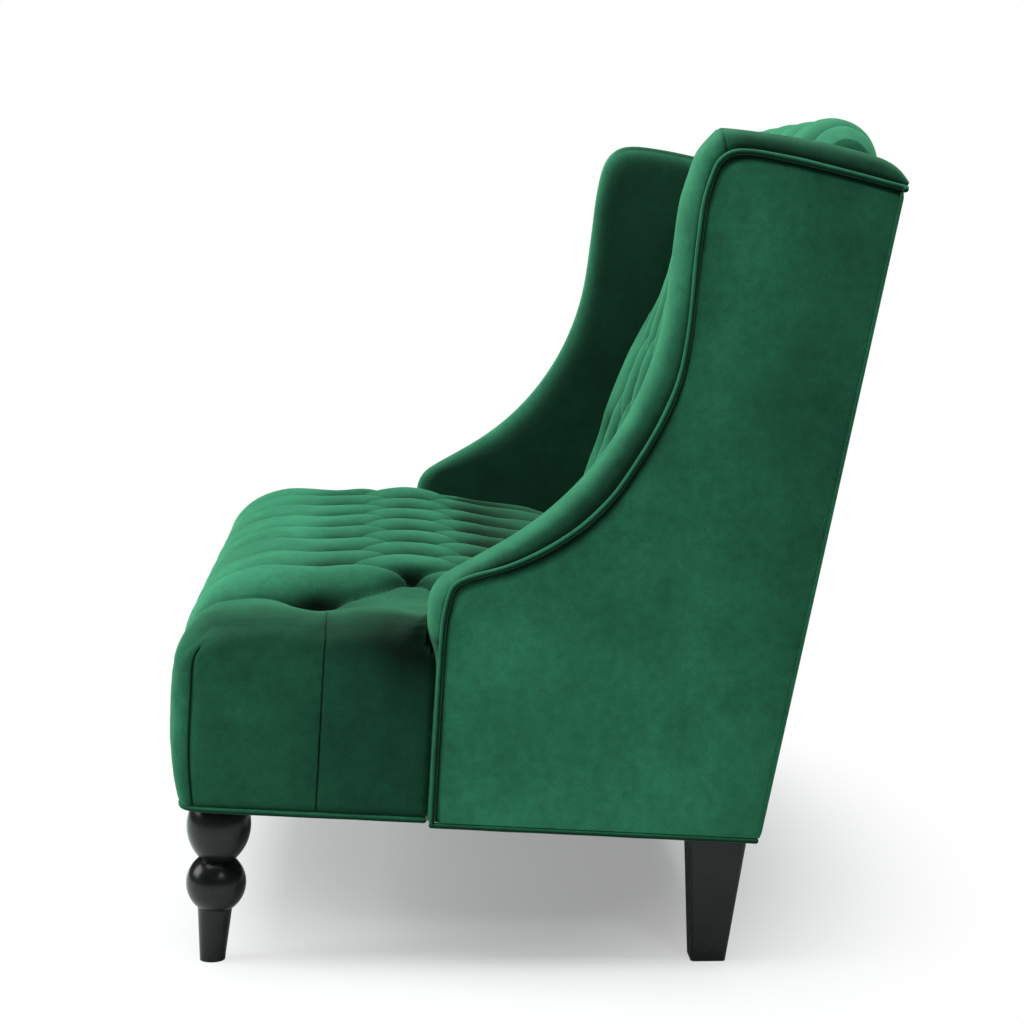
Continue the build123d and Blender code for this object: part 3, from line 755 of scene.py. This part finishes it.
def meet(p, p_angle, q, q_angle):
    """Where two lines in (y, z) cross."""
    u, v = direction(p_angle), direction(q_angle)
    share = ((q[0] - p[0]) * v[1] - (q[1] - p[1]) * v[0]) / (u[0] * v[1] - u[1] * v[0])
    return p + share * u


def inward(point, angle, distance):
    """A point moved square to a line, into the side."""
    return point + distance * np.array((math.sin(angle), -math.cos(angle)))


SPANS = (40, 14, 22, 46, 54)  # points on each line and arc of the outline

# Points in (y, z) through which the photographed lines run
CREST_CROWN = (
    (246, 740), (250, 757), (259, 791), (263.5, 802), (281, 822.8), (284, 826), (289, 826.4),
    (315, 825.6), (378, 821), (426, 814.5), (468, 805.5), (485, 799), (496, 790.5), (503, 780),
)
ROUND_CROWN = (
    (245.5, 740), (248.5, 765), (252.5, 788), (258, 806), (267, 820), (280, 829.5), (300, 833.5),
    (330, 832.5), (378, 827), (426, 819), (468, 808), (485, 800.5), (496, 791), (503, 780),
)
WELT_ARM = (
    (3.0, 9.5), (2.4, 120), (2.4, 222), (3.6, 251), (7.6, 275), (13.5, 289.5), (31.2, 299),
    (70.6, 311), (109.6, 330.5), (140.1, 351.5), (163.3, 371), (189.5, 401), (208.8, 432.9),
    (228, 467.9), (243.9, 502.7), (256.2, 540.2), (262.2, 583.6), (264.2, 629), (264.8, 665),
    (265.7, 690),
)
WELT_CROWN = (
    (268, 735), (272, 757), (279, 781.5), (284, 789), (290.5, 795), (299, 798.7), (311, 800),
    (327, 799.5), (370, 794), (405, 788), (447, 780), (496, 770.5),
)


def straight(start, end, count):
    """Points from a start up to, but without, an end."""
    return [start + (end - start) * t for t in np.linspace(0, 1, count, endpoint=False)]


def lower_outline(front, edge, wing_end):
    """The side outline up to a height on the wing, drawn in at the front and along its edge."""
    arm_at = np.array((ARM_FRONT, ARM_TIP))
    tip_at = np.array((ARM_FRONT + front, ARM_TIP))
    arm = inward(arm_at, ARM_SLOPE, edge)
    wing = inward(CROWN, WING_ANGLE, edge)
    corners = [
        np.array((ARM_FRONT + front, BASE_EDGE)),
        meet(tip_at, math.pi / 2, arm, ARM_SLOPE),
        meet(arm, ARM_SLOPE, wing, WING_ANGLE),
        wing + direction(WING_ANGLE) * (wing_end - wing[1]) / math.sin(WING_ANGLE),
    ]
    spans = iter(SPANS)
    path = []
    start = corners[0]
    radii = (TIP_RADIUS - edge, SWEEP_RADIUS + edge)
    for before, corner, after, radius in zip(corners, corners[1:], corners[2:], radii):
        u, v = unit(before - corner), unit(after - corner)
        half = math.acos(np.clip(u @ v, -1, 1)) / 2
        reach = radius / math.tan(half)
        first, second = corner + u * reach, corner + v * reach
        middle = corner + unit(u + v) * radius / math.sin(half)
        path.extend(straight(start, first, next(spans)))
        a0 = math.atan2(*(first - middle)[::-1])
        a1 = math.atan2(*(second - middle)[::-1])
        a1 = a0 + (a1 - a0 + math.pi) % (2 * math.pi) - math.pi
        angles = np.linspace(a0, a1, next(spans), endpoint=False)
        path.extend(middle + radius * direction(a) for a in angles)
        start = second
    path.extend(straight(start, corners[-1], next(spans)))
    return np.array(path), corners[-1]


def rounded(stops):
    """A line through stops with its corners cut three times, and the run along it."""
    fine = np.array(stops, float)
    for _ in range(3):
        quarter, most = 0.75 * fine[:-1] + 0.25 * fine[1:], 0.25 * fine[:-1] + 0.75 * fine[1:]
        fine = np.concatenate((fine[:1], np.stack((quarter, most), 1).reshape(-1, 2), fine[-1:]))
    return fine, run_of(fine)


def redrawn(path, stops):
    """A rising path whose part below the last stop's height follows the stops instead."""
    count = np.searchsorted(path[:, 1], stops[-1][1])
    share = run_of(np.concatenate((path[:count], (stops[-1],))))
    fine, run = rounded(stops)
    lower = at_runs(share[:-1] / share[-1] * run[-1], run, fine)
    return np.concatenate((lower, path[count:]))


def crown_path(start, stops, mitre):
    """Smooth run over the crown, with points gathered at the mitre, and their distance from it."""
    fine, run = rounded((start, *stops))
    at = run[np.argmin(np.linalg.norm(fine - mitre, axis=1))]
    before = at * (1 - (1 - np.linspace(0, 1, 40, endpoint=False)) ** 1.9)
    after = at + (run[-1] - at) * np.linspace(0, 1, 64) ** 1.9
    where = np.concatenate((before, after))
    return at_runs(where, run, fine), where - at


# The band's crest: its path, each point's distance from the mitre, the depth of the mitre's seam
BELOW_CROWN = -999.0  # stands for that distance on the arm and the sweep
CROWNS = {"right": (CREST_CROWN, (284, 826), 1.8), "left": (ROUND_CROWN, (270, 824), 0.3)}
CREST = {}
low, last = lower_outline(0, 0, 716.0)
for side, (stops, mitre, groove) in CROWNS.items():
    high, from_mitre = crown_path(last, stops, mitre)
    from_mitre = np.concatenate((np.full(len(low), BELOW_CROWN), from_mitre))
    CREST[side] = np.concatenate((low, high)), from_mitre, groove
low, last = lower_outline(ARM_BAND, WING_BAND, 705.0)
WELT_LINE = np.concatenate((redrawn(low, WELT_ARM), crown_path(last, WELT_CROWN, (290.5, 795))[0]))


def outline(share, crest=CREST["right"][0]):
    """From the band's crest (0) to the welt (1), and on past the welt."""
    return crest + (WELT_LINE - crest) * np.reshape(share, (-1, 1))


def far_side(count):
    """Points on the base line and the raked rear line, one for each point of the outline."""
    turn, top = 0.34, 763.0  # share of the points on the base line, upper end of the rear line
    share = np.linspace(0, 1, count)
    heel = np.array((rear_y(BASE_EDGE), BASE_EDGE))
    start = np.array((ARM_FRONT + ARM_BAND + 6, BASE_EDGE))
    end = np.array((rear_y(top), top))
    low = start + (heel - start) * np.clip(share / turn, 0, 1)[:, None]
    high = (end - heel) * np.clip((share - turn) / (1 - turn), 0, 1)[:, None]
    return low + high


def tube_mesh(loops):
    """Closed loops of equal length joined in order, with both ends capped."""
    rows = np.array(loops)
    count, around = rows.shape[:2]
    index = numbered(count, around)
    ring = np.concatenate((index, index[:, :1]), axis=1)
    quads = grid_faces(ring)
    ends = [list(index[0]), list(index[-1][::-1])]
    return rows.reshape(-1, 3), quads, ends


def mirrored(points, faces):
    """The same piece on the other side."""
    return points * (-1, 1, 1), [f[::-1] for f in faces]


# Section of a wing: in from the welt to the padded edge's crest, then round to the inner face
WING_CREST, WING_BACK = 556.0, 600.0  # x of the crest, and of the hidden back
BAND_OUT = 49.5  # from the crest out to the welt
BAND_STEPS, ROUND_STEPS = 14, 10
CREST_END = 1 + BAND_STEPS
ROUND_END = CREST_END + ROUND_STEPS


def wing_skin(crest, from_mitre, groove):
    """Padded edge band, inner face and hidden back of one wing, right-hand side."""
    count = len(crest)
    height = crest[:, 1]
    swept = smooth(height, 290, 350) * (1 - smooth(height, 580, 700)) * (from_mitre == BELOW_CROWN)
    full = 2 / (2 + np.maximum(smooth(from_mitre, -90, -20), 1.2 * swept))
    sections = [(WING_BACK, np.full(count, 1.25))]
    for phi in np.linspace(math.pi / 2, 0, BAND_STEPS):
        x = WING_CREST + BAND_OUT * math.sin(phi) ** full
        sections.append((x, 1 - abs(math.cos(phi)) ** full))
    for psi in np.linspace(0, math.pi / 2, ROUND_STEPS + 1)[1:]:
        x = WING_CREST - (WING_CREST - WING_IN) * math.sin(psi)
        sections.append((x, 1.15 * (1 - math.cos(psi))))
    rows = np.array([at_x(x, outline(share, crest)) for x, share in sections])
    proud = np.maximum(ARM_FRONT + ARM_BAND - rows[..., 1], 0)
    rows[..., 1] += 0.66 * proud * smooth(236 - rows[..., 2], 0, 44)
    rim, far = rows[-1], far_side(count)
    inner = []
    for t in np.linspace(0, 1, 40)[1:] ** 1.25:
        row = rim + (at_x(WING_IN, far) - rim) * t
        swell = 3.0 * np.sin(math.pi * min(t * 1.2, 1))
        swell += 1.2 * ripple(row[:, 1], row[:, 2], 21, 200.0) * min(t * 4, 1)
        row[:, 0] = WING_IN - np.maximum(swell, -2)
        inner.append(row)
    loops = np.concatenate((rows, inner, at_x(WING_BACK, far)[None])).transpose(1, 0, 2)
    points, quads, ends = tube_mesh(loops)

    # Mitre seam at the crown, a small fold below it, puckers where the arm's front is drawn in
    normals = vertex_normals(points, quads).reshape(loops.shape)
    normals *= np.sign(normals[100, 8, 0])  # a point of the band, which looks outward
    around = np.arange(loops.shape[1])
    shares = np.zeros(loops.shape[:2])
    shares[:, :CREST_END] = np.array([share for _, share in sections[:CREST_END]]).T
    on_band = np.where(around < CREST_END + 3, 1.0, 0.0)
    mitre = from_mitre[:, None]
    y, z = loops[..., 1], loops[..., 2]
    depth = groove * bell(mitre, 1.7) * on_band * smooth(1.05 - shares, 0, 0.1)
    depth += 0.7 * bell(mitre + 34, 2.5) * bell(shares - 0.45, 0.25) * on_band
    front_only = smooth(40 - y, 0, 20) * on_band
    puckers = bell(z - 243, 12) * bell(shares - 0.72, 0.2) * np.cos(z * 2 * math.pi / 7.5)
    depth += 0.9 * front_only * puckers

    # Painted shade: lighter on the crest, darker by the welt, on the top, down the inner face, in
    # the mitre and low on the arm's front, with a random tone along the band
    turned = np.interp(around, (CREST_END - 1, CREST_END, ROUND_END - 1), (0, 0.1, 1))
    painted_shade = 0.06 + 0.3 * shares**1.6 + 0.6 * smooth(shares, 0.68, 0.9)
    painted_shade += 0.78 * smooth(turned, 0.0, 0.8)
    on_arm = smooth(z, 268, 300) * (1 - smooth(z, 460, 640)) * on_band
    painted_shade += 0.4 * on_arm * smooth(y, 0, 40) * smooth(shares, 0.02, 0.45)
    painted_shade += on_arm * (0.08 + 0.08 * smooth(z, 330, 380) * smooth(shares, 0.25, 0.6))
    painted_shade += 0.6 * smooth(mitre, -15, 30) * on_band
    painted_shade += 0.28 * groove * bell(mitre, 1.5) * on_band + 0.9 * front_only * smooth(232 - z, 0, 16)
    painted_shade += 0.1 * on_band * ripple(y, z, 23, 60.0)
    painted_shade = np.clip(painted_shade, 0, 0.93)
    points = (loops - normals * depth[..., None]).reshape(-1, 3)
    return points, [face[::-1] for face in (*quads, *ends)], painted_shade.ravel()


for side in ("right", "left"):
    points, faces, painted_shade = wing_skin(*CREST[side])
    if side == "left":
        points, faces = mirrored(points, faces)
    piece = add_piece(f"wing_skin_{side}", points, faces, painted_shade)
    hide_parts(f"wing_cover_{side}", f"wing_foam_{side}")

PANEL_RIM = 1.06  # the panel starts just past the welt


def panel_skin():
    """Outer side panel: a flat pad that dips to its welt."""
    dip = 5.6
    rim = outline(PANEL_RIM)
    far = far_side(len(rim))
    span = np.linalg.norm(far - rim, axis=1)
    close = (0, 0.006, 0.014, 0.025, 0.04, 0.06)
    rows = [at_x(PANEL_IN, rim)]
    shade_values = [np.full(len(rim), 0.8)]
    for t in (*close, *np.linspace(0.09, 0.97, 44), 0.985, 1.0):
        row = rim + (far - rim) * t
        y, z = row[:, 0], row[:, 1]
        from_welt = t * span
        edge = np.minimum(from_welt, 30)
        rise = PANEL_OUT - dip + dip * smooth(edge, 0, 15)
        wave = 0.7 * ripple(y, z, 31, 260.0) * smooth(edge, 0, 30) * (1 - t) ** 0.3
        rows.append(at_x(rise + wave, row))
        brushed = ripple(y, z, 33, 330.0)
        # Painted shade: darker up and to the rear, dark in the crevice by the welt, with patches of
        # shade near the welt; brushed is a random tone
        shade_value = -0.17 + 0.28 * smooth(z + 0.5 * y, 160, 560) - 0.08 * smooth(z, 560, 720)
        shade_value += 0.3 * smooth(y, 290, 430) + 0.07 * brushed
        shade_value += 0.95 * (1 - smooth(from_welt, 5.0, 13.0))
        shade_near_welt = 0.12 + 0.16 * brushed + 0.25 * np.maximum(ripple(y, z, 35, 75.0), 0)
        shade_value += shade_near_welt * np.exp(-from_welt / 45)
        shade_values.append(np.clip(shade_value, -0.3, 0.93))
    rows.append(at_x(PANEL_IN, far))
    shade_values.append(shade_values[-1])
    points, quads, ends = tube_mesh(np.array(rows).transpose(1, 0, 2))
    return points, [*quads, *ends], np.array(shade_values).T.ravel()


points, faces, painted_shade = panel_skin()
for side in ("right", "left"):
    if side == "left":
        points, faces = mirrored(points, faces)
    piece = add_piece(f"side_cloth_{side}", points, faces, painted_shade)
    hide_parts(f"side_panel_{side}")

# Welts
WELT_RADIUS = 3.6
WELT_AROUND = 14
WELT_CAP = ((0.35, 0.95), (0.75, 0.7), (0.95, 0.32))  # distance past the end and radius, as shares
SEAM = 0.3  # gap between a welt and its neighbour


def tube(path, seed=1, wobble=0.06):
    """Welt cord along points, with rounded ends and a slight unevenness."""
    tangent = unit(np.gradient(path, axis=0))
    side = unit(np.cross(tangent, (0.31, 0.17, 0.93)))  # from a direction that no welt runs along
    up = np.cross(tangent, side)
    run = run_of(path)
    rng = np.random.default_rng(seed)
    swell = 1 + wobble * np.sin(run / 17 + rng.uniform(0, 6)) * np.sin(run / 41 + rng.uniform(0, 6))
    angles = np.linspace(0, 2 * math.pi, WELT_AROUND, endpoint=False)

    def ring(i, share, shift):
        spokes = np.cos(angles)[:, None] * side[i] + np.sin(angles)[:, None] * up[i]
        return path[i] + tangent[i] * shift + WELT_RADIUS * swell[i] * share * spokes

    loops = [ring(0, share, -WELT_RADIUS * out) for out, share in WELT_CAP[::-1]]
    loops += [ring(i, 1, 0) for i in range(len(path))]
    loops += [ring(-1, share, WELT_RADIUS * out) for out, share in WELT_CAP]
    points, quads, ends = tube_mesh(loops)
    return points, [*quads, *ends]


def welt_painted_shade(points, path, toward):
    """Painted shade on a cord: dark on the side that looks toward the given direction, light on the
    other side.
    """
    loops = points.reshape(-1, WELT_AROUND, 3)
    at = np.clip(np.arange(len(loops)) - len(WELT_CAP), 0, len(path) - 1)
    away = np.broadcast_to(toward, path.shape)[at][:, None, :]
    share = np.sum((loops - path[at][:, None, :]) * away, axis=-1) / WELT_RADIUS
    return (0.1 + 0.83 * smooth(share, -0.6, 0.25)).ravel()


def add_welt(name, node, path, toward, seed=1):
    points, faces = tube(path, seed)
    piece = add_piece(name, points, faces, welt_painted_shade(points, path, toward))
    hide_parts(node)


BELOW = np.array((0.0, 0.0, -1.0))
welt_z = BASE_EDGE - SEAM - WELT_RADIUS
side_path = at_x(606.8, WELT_LINE)
to_panel = unit(at_x(0.0, outline(PANEL_RIM) - WELT_LINE))
panel_path = np.array([(605.3, y, welt_z) for y in lines(ARM_FRONT + ARM_BAND, (12.0, FRAME_REAR))])
for side, sign in (("right", 1), ("left", -1)):
    flip = (sign, 1, 1)
    add_welt(f"side_piping_{side}", f"side_welt_{side}", side_path * flip, to_panel)
    add_welt(f"panel_base_piping_{side}", f"panel_base_welt_{side}", panel_path * flip, BELOW)


def seat_welt_path():
    """Along the seat's lower edge, with the pleats evened out."""
    run = run_of(seat_hem)
    even = np.linspace(0, run[-1], int(run[-1] / 6))
    path = at_runs(even, run, seat_hem[:, :2])
    for _ in range(8):
        path[1:-1] = (path[:-2] + 2 * path[1:-1] + path[2:]) / 4
    return np.column_stack((path, np.full(len(path), welt_z + 0.8)))


add_welt("seat_base_piping", "seat_base_welt", seat_welt_path(), BELOW, seed=4)
top_z = BACK_TOP + WELT_RADIUS + SEAM
top_y = rear_y(top_z + WELT_RADIUS) + WELT_RADIUS + SEAM
back_path = np.array([(x, top_y, top_z) for x in lines(-PANEL_OUT, (14.0, PANEL_OUT))])
add_welt("back_piping", "back_welt", back_path, BELOW, seed=6)

# Outer back panel, the strip above it and the dust cover


def back_cloth():
    """Outer back panel, slightly full between its edges."""
    xs = lines(-PANEL_OUT, (2.0, -PANEL_OUT + 6), (14.0, PANEL_OUT - 6), (2.0, PANEL_OUT))
    zs = lines(BASE_EDGE, (2.0, BASE_EDGE + 6), (14.0, 759.0), (2.0, BACK_TOP))
    x, z = np.meshgrid(xs, zs, indexing="ij")
    edge = np.minimum.reduce((PANEL_OUT - np.abs(x), z - BASE_EDGE, BACK_TOP - z))
    out = 6.0 - 2.5 * (1 - smooth(edge, 0, 6))
    out += smooth(edge, 0, 60) * (1.5 + ripple(x, z, 41, 300.0))
    outer = np.stack((x, rear_y(z) + out, z), axis=-1).reshape(-1, 3)
    index = numbered(*x.shape)
    rim = rim_of(index)
    behind = outer[rim].copy()
    behind[:, 1] = rear_y(behind[:, 2]) + SEAM
    back_index = np.arange(len(outer), len(outer) + len(rim))
    ring = np.array((np.append(rim, rim[0]), np.append(back_index, back_index[0])))
    faces = [*grid_faces(index)[:, ::-1], *grid_faces(ring), back_index]
    return np.concatenate((outer, behind)), faces


points, faces = back_cloth()
piece = add_piece("back_cloth", points, faces, np.full(len(points), 0.2))
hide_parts("back_panel")


def top_strip():
    """Covered strip on the top rail, seen behind the ends of the roll."""
    half_length, half_wide, half_thick = 527.0, 27.0, 3.2
    angles = np.linspace(0, 2 * math.pi, 24, endpoint=False)
    corner = np.column_stack((np.cos(angles), np.sin(angles)))
    section = np.sign(corner) * np.abs(corner) ** 0.35 * (half_wide, half_thick)
    middle = np.array((rear_y(768.0) - 24.0, 768.8))
    loops = []
    for x in lines(-half_length, (12.0, half_length)):
        rise = 0.8 * ripple(np.full(len(angles), x), section[:, 0], 61, 90.0) * (section[:, 1] > 0)
        loops.append(at_x(x, middle + section) + np.outer(rise, (0, 0, 1)))
    points, quads, ends = tube_mesh(loops)
    return points, [*quads, *ends]


points, faces = top_strip()
piece = add_piece("back_top_strip", points, faces, np.full(len(points), 0.25))


def dust_cloth():
    """Black cambric stapled flat under the rails, sagging a little between them."""
    half, thickness = 584.0, 0.7
    xs = lines(-half, (12.0, half))
    ys = lines(FRAME_FRONT, (12.0, FRAME_REAR))
    x, y = np.meshgrid(xs, ys, indexing="ij")
    inside = np.minimum.reduce((half - np.abs(x), y - FRAME_FRONT, FRAME_REAR - y))
    sag = 3.5 * smooth(inside, 20, 260)
    sag += (0.7 + 0.6 * ripple(x, y, 51, 180.0)) * smooth(inside, 12, 60)
    lower = np.stack((x, y, DUST_Z[0] + 0.3 - sag), axis=-1).reshape(-1, 3)
    upper = lower + (0, 0, thickness)
    index = numbered(*x.shape)
    rim = rim_of(index)
    ring = np.append(rim, rim[0])
    walls = grid_faces(np.array((ring, ring + x.size)))
    quads = grid_faces(index)
    return np.concatenate((lower, upper)), [*quads[:, ::-1], *(quads + x.size), *walls]


points, faces = dust_cloth()
piece = add_piece("dust_cloth", points, faces, slot="dust_cloth")
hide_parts("dust_cover")

# Floor, light and camera
FLOOR_TONE = (0.82, 0.89, 0.875, 1)
FLOOR_REACH = 9.0
FLOOR_END = (1.6, 6.0)  # distances over which it fades into the backdrop
FLOOR_GLOW = (0.2, 0.68)  # distances over which it turns white as the camera sees it


def stage_floor():
    """Pale floor that keeps the shadow near the object and turns into the white backdrop."""
    mesh = bpy.data.meshes.new("floor")
    r = FLOOR_REACH
    mesh.from_pydata([(-r, -r, 0), (r, -r, 0), (r, r, 0), (-r, r, 0)], [], [(0, 1, 2, 3)])
    material, draw, shader, place = new_material("pale_floor")
    draw.fill(shader, {"Base Color": FLOOR_TONE, "Roughness": 0.7, "Specular IOR Level": 0.1})
    squeezed = draw.stretched(place, (0.6, 1.0, 1.0))
    far = draw.add("VectorMath", {0: squeezed}, operation="LENGTH").outputs["Value"]
    inputs = {"Value": far, "From Min": FLOOR_END[0], "From Max": FLOOR_END[1]}
    fade = draw.add("MapRange", inputs).outputs["Result"]
    inputs = {"Value": far, "From Min": FLOOR_GLOW[0], "From Max": FLOOR_GLOW[1], "To Min": 0.3}
    bright = draw.add("MapRange", inputs, interpolation_type="SMOOTHSTEP")
    seen = draw.add("LightPath").outputs["Is Camera Ray"]
    glow = draw.add("Emission").outputs["Emission"]
    glowing = draw.math("MULTIPLY", seen, bright.outputs["Result"])
    lit = draw.mixed(glowing, shader.outputs["BSDF"], glow)
    clear = draw.add("BsdfTransparent").outputs["BSDF"]
    draw.fill(draw.nodes["Material Output"], {"Surface": draw.mixed(fade, lit, clear)})
    mesh.materials.append(material)
    new_object("floor", mesh)


def stage_world():
    """Faint ambient light, and white where the camera looks past the object."""
    world = bpy.data.worlds.new("studio")
    bpy.context.scene.world = world
    world.use_nodes = True
    draw = Drawing(world.node_tree)
    seen = draw.add("LightPath").outputs
    either = draw.math("MAXIMUM", seen["Is Camera Ray"], seen["Is Transmission Ray"])
    ambient = draw.nodes["Background"]
    draw.fill(ambient, {"Color": (0.95, 0.98, 1.0, 1), "Strength": 0.07})
    white = draw.add("Background", {"Color": (1, 1, 1, 1), "Strength": 1.0})
    blend = draw.mixed(either, ambient.outputs["Background"], white.outputs["Background"])
    draw.fill(draw.nodes["World Output"], {"Surface": blend})


def area_light(name, place, target, size, power):
    """Square-edged lamp that looks at its target; sizes in metres, power in watts."""
    light = bpy.data.lights.new(name, "AREA")
    light.shape = "RECTANGLE"
    light.size, light.size_y = size
    light.energy = power
    lamp = new_object(name, light)
    lamp.location = place
    aim = np.array(target) - np.array(place)
    lamp.rotation_euler = Vector(aim).to_track_quat("-Z", "Y").to_euler()


stage_floor()
stage_world()
area_light("overhead", (0.1, -0.4, 3.2), (0.1, -0.1, 0.0), (3.4, 3.4), 195.0)
area_light("front_left", (0.4, -4.0, 2.1), (0.1, 0, 0.4), (2.2, 1.8), 100.0)
area_light("camera_side", (3.1, 1.0, 2.1), (0.1, 0, 0.4), (0.4, 0.4), 13.0)

camera_data = bpy.data.cameras.new("camera")
camera_data.sensor_width = 36.0
camera_data.lens = 83.4
camera = new_object("camera", camera_data)
CAMERA_PLACE = (3.290, -0.169, 0.892)
CAMERA_RIGHT = (0.05136, 0.99866, 0.00664)
CAMERA_UP = (-0.12819, 0.0, 0.99175)
CAMERA_BEHIND = (0.99042, -0.05179, 0.12802)
turn = Matrix((CAMERA_RIGHT, CAMERA_UP, CAMERA_BEHIND)).transposed()
camera.matrix_world = Matrix.Translation(CAMERA_PLACE) @ turn.to_4x4()
bpy.context.scene.camera = camera
bpy.context.scene.view_settings.view_transform = "Standard"
